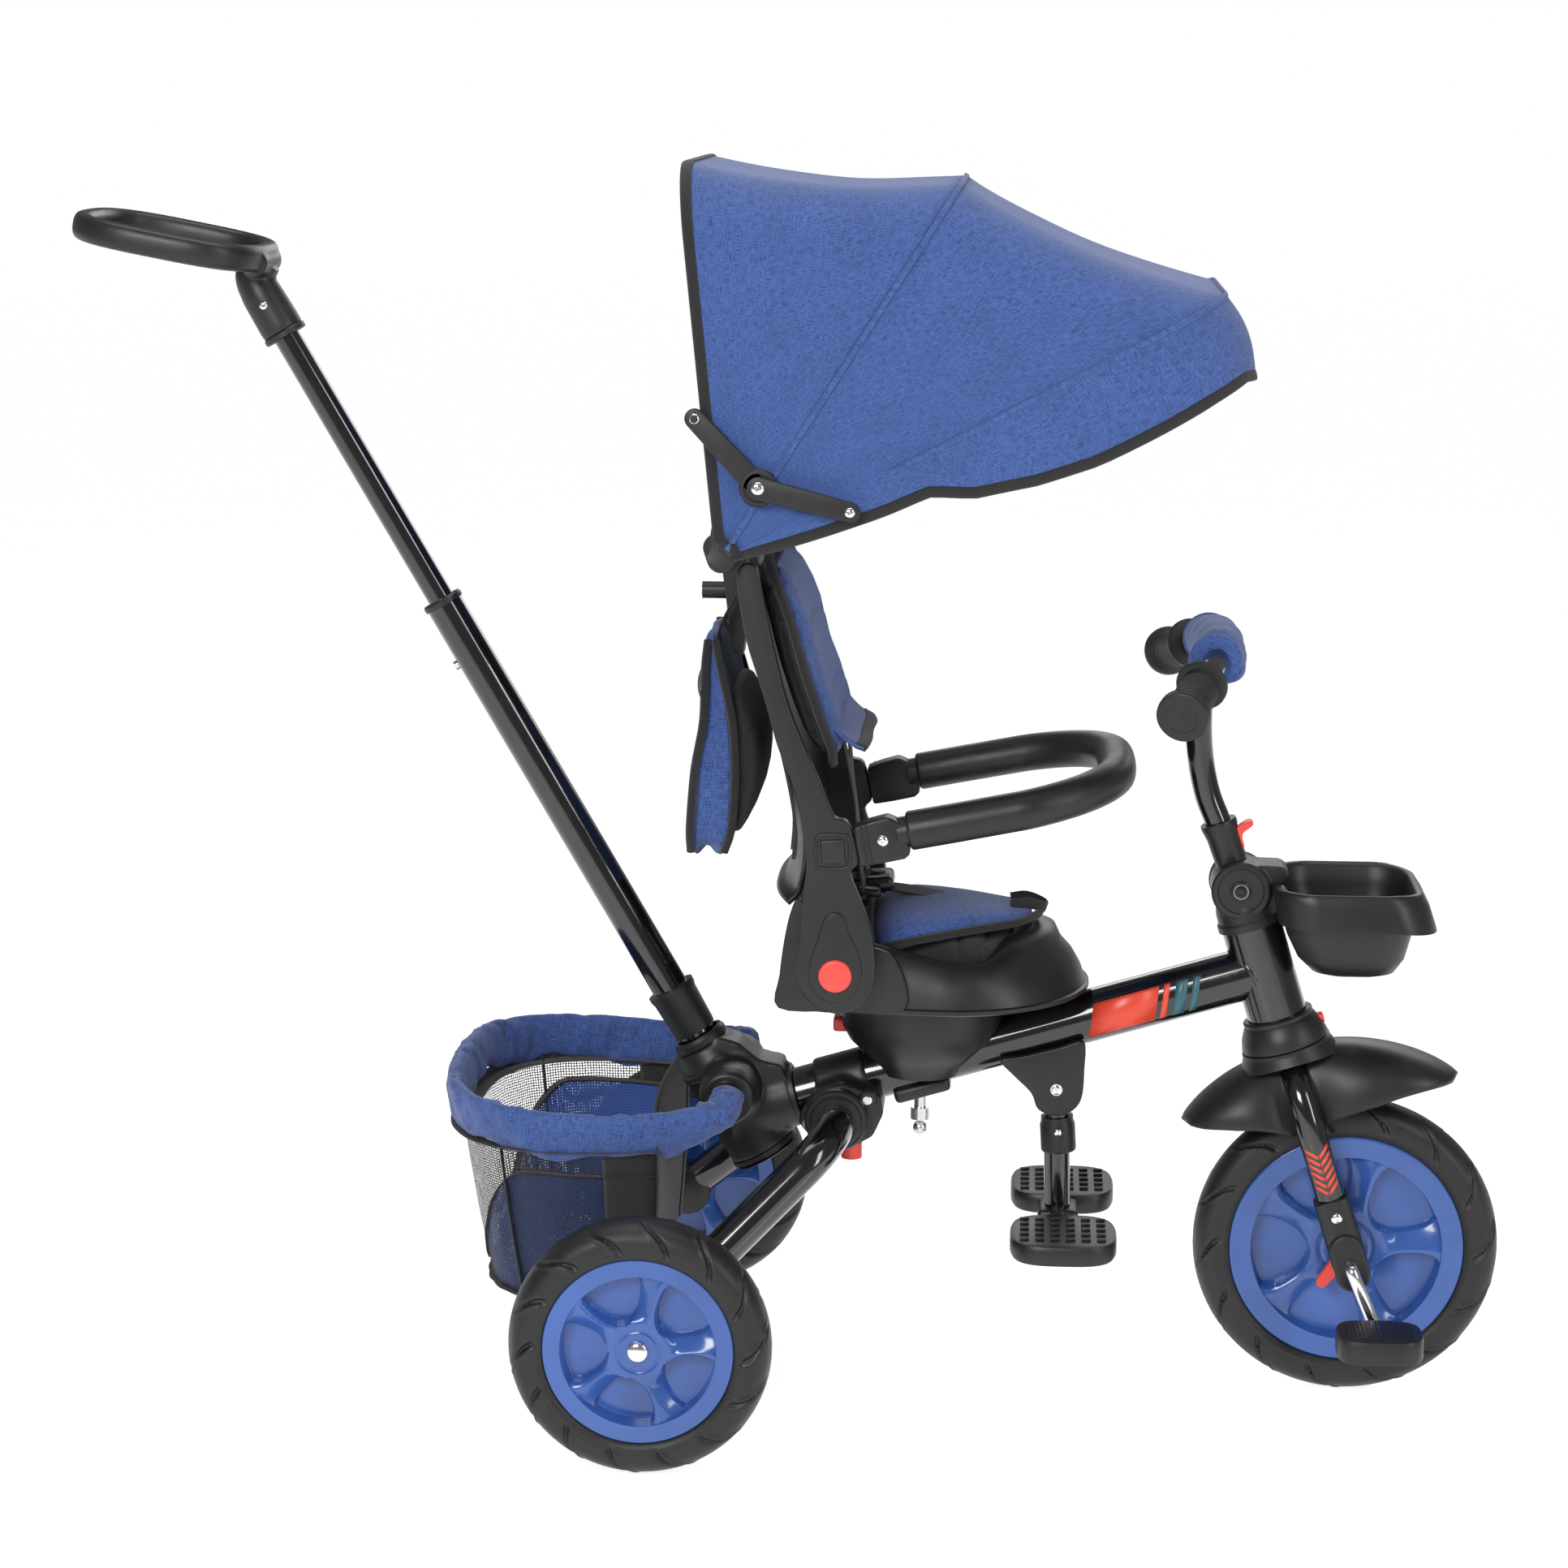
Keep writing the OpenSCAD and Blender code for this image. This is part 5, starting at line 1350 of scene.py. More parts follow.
def make_storage_bag():
    """The bag behind the back: a slim crumpled pouch with bound edges, hung from two straps."""
    spots = [(464, 29, 48, 66), (470, 26, 58, 80), (488, 26, 64, 88), (515, 28, 67, 91), (543, 31, 68, 92),
             (576, 37, 66, 89), (600, 38, 61, 83), (622, 38, 55, 74), (640, 39, 50, 60), (648, 40, 46, 50)]
    rings = []
    for z, x0, x1, half in spots:
        ring = []
        for j in range(64):
            a = 2 * math.pi * j / 64
            c, s = math.cos(a), math.sin(a)
            y = half * math.copysign(abs(c) ** 0.36, c)
            x = (x0 + x1) / 2 + (x1 - x0) / 2 * math.copysign(abs(s) ** 0.5, s)
            fold = 2.6 * math.sin(z / 11 + 2.4 * s) * abs(c) ** 3 + 1.6 * math.sin(y / 11 + z / 23)
            hollow = 6 * math.exp(-(s / 0.45) ** 2) * math.copysign(1, c) * ease((646 - z) / 40)
            lift = 9 * ease((500 - z) / 34) * math.exp(-(s / 0.35) ** 2)
            ring.append((x + fold, y - hollow, z + lift))
        rings.append(ring)
    bag = closed_loft("storage_bag_pouch", rings, FABRIC)
    subdivide(bag, 1)
    put(bag, "backrest", "blue_fabric", "storage_bag")
    rings = []
    for z, x1, half in ((484, 66, 66), (492, 74, 76), (515, 83, 82), (543, 89, 84), (570, 86, 82),
                        (592, 76, 76), (604, 66, 66)):
        ring = []
        for j in range(40):
            a = 2 * math.pi * j / 40
            c, s = math.cos(a), math.sin(a)
            x = (56 + x1) / 2 + (x1 - 56) / 2 * math.copysign(abs(s) ** 0.8, s)
            ring.append((x + 1.4 * math.sin(z / 8 + 2 * c), half * math.copysign(abs(c) ** 0.6, c), z))
        rings.append(ring)
    lining = closed_loft("storage_bag_lining", rings, PADDING)
    subdivide(lining, 1)
    put(lining, "backrest", "black_foam")
    for side, word in SIDES:
        for column, label in ((1, "rear"), (2, "front")):
            edge = [(spot[column] + (2.5 if column == 1 else -2.5), side * (spot[3] - 3), spot[0] + 3)
                    for spot in spots[1:-1]]
            tape = sweep("storage_bag_%s_edge_%s" % (label, word), curve_through(edge, 7),
                         soft_box_section(7, 5, 2.5, 14), TAPE, hint=(1, 0, 0))
            put(tape, "backrest", "black_foam")
        strap = curve_through([(45, side * 34, 630), (50, side * 32, 652), (60, side * 30, 672),
                               (69, side * 28, 688)], 5)
        put(sweep("storage_bag_strap_" + word, strap, soft_box_section(18, 2, 5, 12), STRAP,
                  hint=(0, 1, 0)), "backrest", "black_foam")
    lip = curve_through([(39, -82, 603), (34, -50, 606), (32, 0, 607), (34, 50, 606), (39, 82, 603)], 8)
    put(sweep("storage_bag_mouth", lip, soft_box_section(10, 4, 2.5, 14), TAPE, hint=(0, 0, 1)), "backrest",
        "black_foam")


# ---------- bumper ----------

def make_bumper():
    """A foam-covered hoop held by two moulded ends."""
    def lifted(forward, y):
        rise = math.radians(11)
        return (186.5 + forward * math.cos(rise), y, 498 + forward * math.sin(rise))
    points = [lifted(20, 120), lifted(60, 120), lifted(100, 119)]
    for k in range(1, 8):
        a = math.radians(90 * k / 8)
        points.append(lifted(98 + 92 * math.sin(a), 28 + 92 * math.cos(a)))
    half = points + [lifted(190, 26), lifted(190.5, 0)]
    path = curve_through(half + [(x, -y, z) for x, y, z in reversed(half[:-1])], 6)
    foam = sweep("bumper_foam", path, circle_section(15.8, 36), FOAM, hint=(0, 0, 1))
    round_edges(foam, 3, 4, 50)
    put(foam, "bumper", "black_foam", "bumper_bar")
    for side, word in SIDES:
        outline = [(168.5, 474), (165, 491), (163, 506), (176, 511), (190, 515), (199, 511), (206, 498),
                   (208.5, 485), (204, 481), (186, 477)]
        end = plate("bumper_end_" + word, outline, *sorted((side * 111, side * 131)), PLASTIC, 2.2)
        put(end, "bumper", "matte_black_plastic")
        groove = [(164.2, 507), (166.4, 491), (169.8, 474)]
        for k, shift in enumerate((4.5, 8.5)):
            line = sweep("bumper_end_rib_%d_%s" % (k, word),
                         [(x + shift, side * 131, z + shift * 0.26) for x, z in groove],
                         circle_section(1.0, 8), PLASTIC, hint=(0, 1, 0))
            put(line, "bumper", "matte_black_plastic")
        neck = tube("bumper_neck_" + word, [lifted(12, side * 120), lifted(24, side * 120)], 12.5, PLASTIC,
                    2)
        put(neck, "bumper", "matte_black_plastic")
        rivet("bumper_rivet_" + word, (186.5, side * 131, 496), side, 5, "bumper", 2.8)


# ---------- pole and handle ----------

POLE_DIR = np.array((-math.sin(math.radians(29.8)), 0, math.cos(math.radians(29.8))))


def on_pole(s):
    return np.array((22, 0, 305)) + s * POLE_DIR


def make_push_handle():
    centre = np.array((-318.0, 0, 944.0))
    tilt = math.radians(11)
    back = np.array((-math.cos(tilt), 0, math.sin(tilt)))
    up = np.array((math.sin(tilt), 0, math.cos(tilt)))
    outline = []
    for k in range(96):
        a = 2 * math.pi * k / 96
        c, s = math.cos(a), math.sin(a)
        outline.append((80 - 8 - (72) * math.copysign(abs(c) ** 0.62, c) + 8,
                        76 * math.copysign(abs(s) ** 0.72, s)))
    path = [centre + back * l + np.array((0, w, 0)) for l, w in outline]
    ring = sweep("push_handle_ring", path, soft_box_section(22, 15.5, 2.8, 28), PLASTIC, closed=True,
                 hint=tuple(up))
    root = on_pole(668)
    neck = [root, on_pole(690), on_pole(706), np.array((-333.5, 0, 929)), np.array((-327.5, 0, 942))]
    collar = sweep("push_handle_socket", curve_through([tuple(p) for p in neck], 8), circle_section(17, 40),
                   PLASTIC, scale=lambda t: table_value([(0, 1.0), (0.06, 1.04), (0.45, 1.0), (0.7, 0.9),
                                                         (0.85, 0.92), (1, 1.0)], t))
    saddle = tube("part_saddle", [(-327.5, y, 942) for y in (-30, -12, 12, 30)], 11.5, PLASTIC, 4,
                  hint=(1, 0, 0))
    moulding = melt("push_handle_moulding", [ring, collar, saddle], 1.7, 9, PLASTIC)
    put(moulding, "push_upper", "matte_black_plastic", "push_handle")
    seam = lathe("push_handle_seam", [(17.2, 0), (18.2, 0.6), (18.2, 4), (17.4, 5), (16.6, 5), (16.6, 0)],
                 tuple(on_pole(664)), tuple(POLE_DIR), PLASTIC, 48)
    put(seam, "push_upper", "matte_black_plastic")
    rivet("push_handle_rivet", tuple(on_pole(694) + np.array((0, -16.4, 0))), RIGHT, 3.6, "push_upper", 2)


# ---------- frame mouldings ----------

TUBE_DIR = np.array((math.cos(math.radians(16.6)), 0, math.sin(math.radians(16.6))))
HEAD_DIR = np.array((-math.sin(math.radians(17.3)), 0, math.cos(math.radians(17.3))))


def on_tube(x):
    return np.array((150, 0, 259)) + (x - 150) / TUBE_DIR[0] * TUBE_DIR


def on_head(s, y=0.0):
    return np.array(FRONT_AXLE) + s * HEAD_DIR + np.array((0, y, 0))


def make_housing():
    """The rear casting that joins the pole, the main tube and the basket's stubs."""
    parts = [lathe("part_a", [(27.5, -122), (29, -120), (29, -34), (28, -30), (24, -18), (22, -16)],
                   (22, 0, 305), tuple(POLE_DIR), PLASTIC),
                   lathe("part_b", [(31, 0), (28.5, 22), (26.6, 40), (26.4, 58)], tuple(on_tube(54)),
                         tuple(TUBE_DIR), PLASTIC), lathe("part_c",
                                                          [(22, -64), (25, -50), (25, 50), (22, 64)],
                                                          (56, 0, 260), (0, 1, 0), PLASTIC),
                                                          plate("part_d", [(40, 302), (62, 296), (80, 281),
                                                                  (100, 277), (104, 236), (92, 212),
                                                                  (66, 202), (40, 225)], -20, 20, PLASTIC),
                                                                  ]
    body = melt("rear_housing_casting", parts, 2.0, 16, PLASTIC)
    put(body, "frame", "matte_black_plastic", "rear_housing")
    root = (22, 0, 305)
    seams = [("housing_cap_ring", [(29.6, -40), (30.6, -39), (30.6, -35), (29.8, -33.6), (27, -33),
                                   (27, -40)]), ("housing_neck_ring",
                                                 [(21, -17), (23.6, -16), (23.6, -11), (21.8, -8), (19, -8),
                                                  (19, -17)]), ("housing_foot_ring",
                                                                [(27, -126), (24, -127), (24, -119),
                                                                 (29.6, -119), (29.6, -123)])]
    for name, profile in seams:
        ring = lathe(name, profile, root, tuple(POLE_DIR), PLASTIC, 72)
        put(ring, "frame", "matte_black_plastic")
    lug = lathe("housing_screw_boss", [(8, 20), (8, 28.2), (6.8, 29.6), (4, 29.8), (3.6, 28.4), (0, 28.4)],
                tuple(on_tube(104)), (-TUBE_DIR[2], 0, TUBE_DIR[0]), PLASTIC, 36)
    put(lug, "frame", "matte_black_plastic")
    socket = lathe("housing_tube_lip", [(26, 0), (27.2, 0.6), (27.2, 4.6), (25.6, 5.4), (23, 5.4), (23, 0)],
                   tuple(on_tube(107)), tuple(TUBE_DIR), PLASTIC, 72)
    put(socket, "frame", "matte_black_plastic")
    for side, word in SIDES:
        stub = lathe("basket_stub_" + word, [(17, 20), (16, 62), (13, 66), (13, 72), (0, 73)], (56, 0, 262),
                     (0, side, 0), PLASTIC, 48)
        put(stub, "frame", "matte_black_plastic")
    collar = lathe("pole_collar", [(16.2, -4), (18, -4), (18.4, 0), (19.4, 30), (20.6, 34), (20.6, 38),
                                   (16.2, 38.4)], root, tuple(POLE_DIR), PLASTIC, 64)
    put(collar, "push_pole", "matte_black_plastic", "pole_fittings")
    top = on_pole(412)
    ring = lathe("pole_top_ring", [(11.6, -1), (16.6, -1), (17, 0), (17, 3), (16, 4.6), (11.6, 5)],
                 tuple(top), tuple(POLE_DIR), PLASTIC, 56)
    put(ring, "push_pole", "matte_black_plastic")


def make_leg_clamp():
    parts = [lathe("part_a", [(22, -56), (22, 56)], (146, 0, 241), (0, 1, 0), PLASTIC),
             plate("part_b", [(113, 236), (128, 262), (150, 270), (182, 260), (185, 244), (176, 224),
                              (158, 214), (126, 220)], -45, 45, PLASTIC),
                              lathe("part_c", [(25, -22), (25, 22)], tuple(on_tube(150)), tuple(TUBE_DIR),
                                    PLASTIC), ]
    body = melt("leg_clamp_casting", parts, 2.2, 8, PLASTIC)
    put(body, "frame", "matte_black_plastic", "leg_clamp")
    for side, word in SIDES:
        rings = [("outer", [(25, 46), (26.2, 47), (26.2, 56), (24.6, 58), (17, 58), (17, 46)]),
                 ("inner", [(16.6, 56), (21.4, 56), (21.4, 61), (20, 62.4), (16.6, 62.4)])]
        for label, profile in rings:
            ring = lathe("leg_clamp_ring_%s_%s" % (label, word), profile, (146, 0, 241), (0, side, 0),
                         PLASTIC, 64)
            put(ring, "frame", "matte_black_plastic")
        for k, (x, z) in enumerate(((123, 241), (172, 257))):
            boss = lathe("leg_clamp_boss_%d_%s" % (k, word), [(8, 40), (8, 47), (6.4, 48.6), (0, 48.6)],
                         (x, 0, z), (0, side, 0), PLASTIC, 32)
            put(boss, "frame", "matte_black_plastic")
            rivet("leg_clamp_screw_%d_%s" % (k, word), (x, side * 48.2, z), side, 4, "frame", 1.8)
    button = lathe("leg_release_cap", [(8.6, -8), (8.8, -6), (8.8, 5), (8, 6)], (158, -36, 212), (0, 0, 1),
                   RED, 40)
    put(button, "leg_release_button", "red_plastic", "leg_release_button")
    saddle = block("seat_bolt_saddle", tuple(on_tube(214) + np.array((2, 0, -21))), (48, 40, 12), PLASTIC,
                   4, 16.6)
    put(saddle, "frame", "matte_black_plastic")


def make_rear_legs():
    pivot, end = np.array((146.0, 0, 241)), np.array((0.0, 0, 105))
    along = (end - pivot) / np.linalg.norm(end - pivot)
    reach = np.linalg.norm(end - pivot)
    for side, word in SIDES:
        points = [tuple(pivot + np.array((0, side * 24, 0))), tuple(pivot + np.array((0, side * 62, 0)))]
        for k in range(0, 13):
            a = math.radians(70 * k / 12)
            points.append(tuple(pivot + 55 * (1 - math.cos(a)) * along
                                + np.array((0, side * (70 + 55 * math.sin(a)), 0))))
        last = 55 * (1 - math.cos(math.radians(70)))
        for k in range(1, 9):
            share = k / 8
            run = mix(last, reach - 4, share)
            points.append(tuple(pivot + run * along + np.array((0, side * mix(121.7, 179.5, share), 0))))
        leg = tube("rear_leg_" + word, points, 15.9, PAINT, 3, hint=(1, 0, 0), sides=48)
        put(leg, "rear_legs", "gloss_black_tube", "rear_legs")
        profile = [(12, 158), (20, 160), (21.4, 163), (21.4, 188), (19.6, 191), (12, 192), (9, 196),
                   (5, 196), (5, 243)]
        hub = lathe("rear_axle_end_" + word, profile, (0, 0, 105), (0, side, 0), PLASTIC, 56)
        put(hub, "rear_legs", "matte_black_plastic")
    bar = lathe("rear_leg_pivot", [(15.6, -62), (15.6, 62)], (146, 0, 241), (0, 1, 0), PAINT, 40)
    put(bar, "rear_legs", "gloss_black_tube")


def make_front_end():
    """Head collar, crown cover, fender, fork legs and their lower ends."""
    collar = lathe("head_collar_moulding", [(34, 182.6), (36.4, 182.8), (36.6, 184), (34.4, 193),
                                            (30.4, 201), (27.6, 205), (26, 206), (25, 206)], FRONT_AXLE,
                                            tuple(HEAD_DIR), PLASTIC, 72)
    put(collar, "frame", "matte_black_plastic", "head_collar")
    ridge = lathe("head_collar_ridge", [(28.2, 203), (29.4, 203.4), (29.4, 206.4), (27.8, 207.6),
                                        (25.2, 207.6), (25.2, 203)], FRONT_AXLE, tuple(HEAD_DIR), PLASTIC,
                                        72)
    put(ridge, "frame", "matte_black_plastic")
    ahead = np.array((HEAD_DIR[2], 0, -HEAD_DIR[0]))
    lock = lathe("steering_lock_cap", [(4.9, -4), (4.9, 3.4), (4.2, 4.6), (0, 5)],
                 tuple(on_head(194) + 31.5 * ahead), tuple(ahead), RED, 32)
    put(lock, "steering_lock_button", "red_plastic", "steering_lock_button")
    profile = [(56, 122), (55, 134), (52, 146), (47, 158), (42, 168), (38.6, 176), (36.6, 181)]
    cover = lathe("crown_cover_moulding", profile, FRONT_AXLE, tuple(HEAD_DIR), PLASTIC, 96, 60)
    inside = lathe("cutter", [(171, -80), (171, 80)], FRONT_AXLE, (0, 1, 0), PLASTIC, 160)
    arches = []
    for side in (RIGHT, LEFT):
        path = [tuple(on_head(s, side * y)) for s, y in ((90, 64), (120, 64), (138, 60), (148, 54),
                                                         (153, 47))]
        arches.append(tube("cutter_arch", path, 16, PLASTIC, 4, hint=(1, 0, 0), sides=40))
    cut(cover, inside, *arches)
    put(cover, "fork", "matte_black_plastic", "crown_cover")
    ring = lathe("crown_cover_seam", [(36.4, 178), (37.6, 178.6), (37.4, 181.4), (36, 182.2), (33, 182.2),
                                      (33, 178)], FRONT_AXLE, tuple(HEAD_DIR), PLASTIC, 72)
    put(ring, "fork", "matte_black_plastic")
    make_fender()
    for side, word in SIDES:
        points = [tuple(on_head(s, side * y)) for s, y in ((-4, 46), (30, 46), (70, 46), (108, 46),
                                                           (130, 44), (146, 38), (158, 27), (164, 16))]
        leg = tube("fork_leg_" + word, points, 12.2, PAINT, 8, hint=(1, 0, 0), sides=40)
        put(leg, "fork", "gloss_black_tube", "fork")
        sleeve_path = curve_through([tuple(on_head(s, side * 46)) for s in (-2, 15, 35, 52, 57)], 5)
        sleeve = sweep("fork_end_" + word, sleeve_path, soft_box_section(29.5, 29, 3.2, 36), PLASTIC,
                       hint=(1, 0, 0), scale=lambda t: table_value([(0, 1.02), (0.9, 1.0), (0.96, 0.97),
                               (1, 0.86)], t))
        put(round_edges(sleeve, 1.2), "fork", "matte_black_plastic", "fork_ends")
        a, b = on_head(-9), on_head(13)
        pad = plate("fork_end_cap_" + word, strap_outline((a[0], a[2]), 14.2, (b[0], b[2]), 14.2),
                    *sorted((side * 50, side * 64)), PLASTIC, 3, 4)
        put(pad, "fork", "matte_black_plastic")
        rivet("fork_end_screw_" + word, tuple(on_head(42, side * 60.2)), side, 4.8, "fork", 2.2)
        arrows(word, side)


def arrows(word, side):
    """A generic row of chevrons printed on the fork leg."""
    verts, faces = [], []
    ahead = np.array((HEAD_DIR[2], 0, -HEAD_DIR[0]))
    for k in range(6):
        for half in (-1, 1):
            for i in range(6):
                base = len(verts)
                for step, rise in ((i, 0), (i + 1, 0), (i + 1, 3.3), (i, 3.3)):
                    a = math.radians(half * (2 + 48 * step / 6))
                    s = 62 + 6.4 * k + 1.3 * step + rise
                    offset = 12.35 * (math.sin(a) * ahead + side * math.cos(a) * np.array((0, 1, 0)))
                    verts.append(at(*(on_head(s, side * 46) + offset)))
                faces.append((base, base + 1, base + 2, base + 3))
    obj = new_object("fork_chevrons_" + word, verts, faces, DECAL_RED)
    thicken(obj, 0.3)
    put(obj, "fork", "red_plastic")


FENDER_RADII = [(57, 175), (59, 171), (70, 152), (81, 134), (94, 121), (101, 114), (115, 114), (124, 131),
                (131, 143), (139, 160), (144, 175)]


def make_fender():
    """A thin flared mudguard: deep sides behind the fork legs, rounded tips front and back."""
    rows = []
    count = 72
    for i in range(count + 1):
        t = i / count
        angle = mix(59.3, 142.7, t)
        away = 2 * t - 1
        width = 43 * max(0.0, 1 - abs(away) ** 5) ** 0.5 + 3.5
        width *= 1 - 0.24 * math.exp(-((angle - 107) / 11) ** 2)
        skirt = table_value(FENDER_RADII, angle)
        top = 176.5 + 0.6 * math.cos(math.pi * away) - 1.2 * abs(away) ** 6
        row = []
        for k in range(45):
            a = math.pi * (k / 44 - 0.5)
            y = width * math.sin(a)
            r = top - (top - skirt) * (1 - math.cos(a)) ** 1.15
            ca, sa = math.cos(math.radians(angle)), math.sin(math.radians(angle))
            row.append(at(FRONT_AXLE[0] + r * ca, y, FRONT_AXLE[2] + r * sa))
        rows.append(row)
    obj = lattice("fender_shell", rows, PLASTIC, sharp=70)
    thicken(obj, 2.6, -1)
    put(obj, "fork", "matte_black_plastic", "fender")


def make_weld():
    """The weld bead where the main tube meets the head tube."""
    up = np.array((-TUBE_DIR[2], 0, TUBE_DIR[0]))
    path = []
    for k in range(60):
        a = 2 * math.pi * k / 60
        reach = 481 + 9 * math.cos(a) ** 2 - 3.5 * math.sin(a)
        path.append(on_tube(reach) + 22.2 * (math.sin(a) * up + math.cos(a) * np.array((0, 1, 0))))
    bead = sweep("head_tube_weld", path, circle_section(2.2, 12), PAINT, closed=True, hint=tuple(TUBE_DIR))
    put(bead, "frame", "gloss_black_tube")


def make_knuckle():
    bolt = on_head(321.5)
    x, z = bolt[0], bolt[2]
    parts = [
        lathe("part_a", [(23.5, -23.5), (23.5, 23.5)], (x, 0, z), (0, 1, 0), PLASTIC),
        lathe("part_b", [(26, 288), (25.4, 304), (21, 318)], FRONT_AXLE, tuple(HEAD_DIR), PLASTIC),
        plate("part_c", strap_outline((x + 6, z + 6), 15, (508, 446), 8), -18, 18, PLASTIC),
        plate("part_d", strap_outline((x + 10, z - 8), 14, (510, 424), 8), -18, 18, PLASTIC),
    ]
    body = melt("knuckle_casting", parts, 1.8, 6, PLASTIC)
    put(body, "fork", "matte_black_plastic", "knuckle_base")
    skirt = lathe("knuckle_skirt", [(25.6, 287), (27.4, 287.4), (27.2, 293), (26, 294.6), (24, 294.6),
                                    (24, 287)], FRONT_AXLE, tuple(HEAD_DIR), PLASTIC, 64)
    put(skirt, "fork", "matte_black_plastic")
    for side, word in SIDES:
        rim = lathe("knuckle_face_" + word, [(24, 20), (24.2, 23.2), (22.8, 24.6), (19, 25), (18.2, 24),
                                             (8.4, 24), (8.2, 25.6), (7, 26.4), (0, 26.4)], (x, 0, z),
                                             (0, side, 0), PLASTIC, 64)
        put(rim, "fork", "matte_black_plastic")
        screw = lathe("knuckle_bolt_" + word, [(5.6, 24), (5.6, 27), (5, 28.2), (3, 28.6), (2.8, 27.2),
                                               (0, 27.2)], (x, 0, z), (0, side, 0), SMOOTH_PLASTIC, 32)
        put(screw, "fork", "zinc_screw")
    lean = np.array((-math.sin(math.radians(19.4)), 0, math.cos(math.radians(19.4))))
    sleeve = lathe("stem_sleeve_moulding", [(12, 16), (13, 20), (13.4, 24), (13.6, 44), (14.6, 50),
                                            (15.4, 54), (15, 57), (11, 57.4)], (x, 0, z), tuple(lean),
                                            PLASTIC, 48)
    put(sleeve, "handlebar", "matte_black_plastic", "stem_sleeve")
    eye = lathe("stem_eye", [(20.6, -11.4), (21, -10.6), (21, 10.6), (20.6, 11.4)], (x, 0, z), (0, 1, 0),
                PLASTIC, 56)
    put(eye, "handlebar", "matte_black_plastic")
    ahead = np.array((lean[2], 0, -lean[0]))
    base = np.array((x, 0, z))
    spots = [(12, 28.5), (14.2, 31.5), (14.8, 38), (17, 42), (24, 44.5), (27, 46.6), (26, 49.4), (22, 50),
             (15, 48), (12, 46)]
    outline = [tuple((base + ahead * a + lean * b)[[0, 2]]) for a, b in spots]
    lever = plate("handlebar_lever_tab", smooth_outline(outline, 4), -5, 5, RED, 1.4)
    put(lever, "handlebar_lever", "red_plastic", "handlebar_lever")


def rounded_plan(cx, size_x, size_y, radius, count=72):
    """A rounded rectangle seen from above."""
    points = []
    for k in range(count):
        a = 2 * math.pi * (k + 0.5) / count
        c, s = math.cos(a), math.sin(a)
        points.append((cx + math.copysign(size_x / 2 - radius, c) + radius * c,
                       math.copysign(size_y / 2 - radius, s) + radius * s, c, s))
    return points


def make_front_basket():
    """A deep tray with a rolled, drooping rim."""
    rows = []
    shape = [(571, 124, 138, 412, 36), (571, 128.4, 141, 411.6, 36), (570, 128, 140.6, 416, 36),
             (566, 125, 136, 432, 36), (563, 122, 132.4, 438.4, 35), (563, 118.6, 129, 441, 34),
             (563, 112, 122, 440.6, 33), (563, 107.6, 117.4, 437.6, 32), (563.6, 104, 114, 424, 31),
             (565, 96, 107, 402, 29), (567.4, 82, 93, 384, 26), (569.6, 64, 76, 372.6, 22),
             (570, 48, 60, 369, 18), (570, 16, 20, 368, 6)]
    for cx, sx, sy, z, r in shape:
        droop = 1.0 if z > 405 else 0.0
        rows.append([at(x, y, z - droop * 3.5 * max(0, (x - 600) / 30))
                     for x, y, _, _ in rounded_plan(cx, sx, sy, r)])
    back = [(570, 16, 20, 364.6, 6), (570, 50, 62, 365, 18), (569.6, 68, 80, 368.4, 22),
            (567.4, 87, 98, 380.6, 26), (565, 101, 112, 400, 30), (563.6, 109.6, 119, 424, 32),
            (563.4, 113, 123, 434, 33), (565, 119, 130, 431, 34), (569, 124, 136.4, 416, 35)]
    for cx, sx, sy, z, r in back:
        rows.append([at(x, y, z) for x, y, _, _ in rounded_plan(cx, sx, sy, r)])
    obj = lattice("front_basket_tray", rows, PLASTIC, wrap_rows=True, wrap_columns=True, sharp=60)
    put(obj, "fork", "matte_black_plastic", "front_basket")


BAR_MID = (452, 0, 632)
GRIP_IN, GRIP_OUT = np.array((437.0, 102, 620)), np.array((419.0, 158, 603))


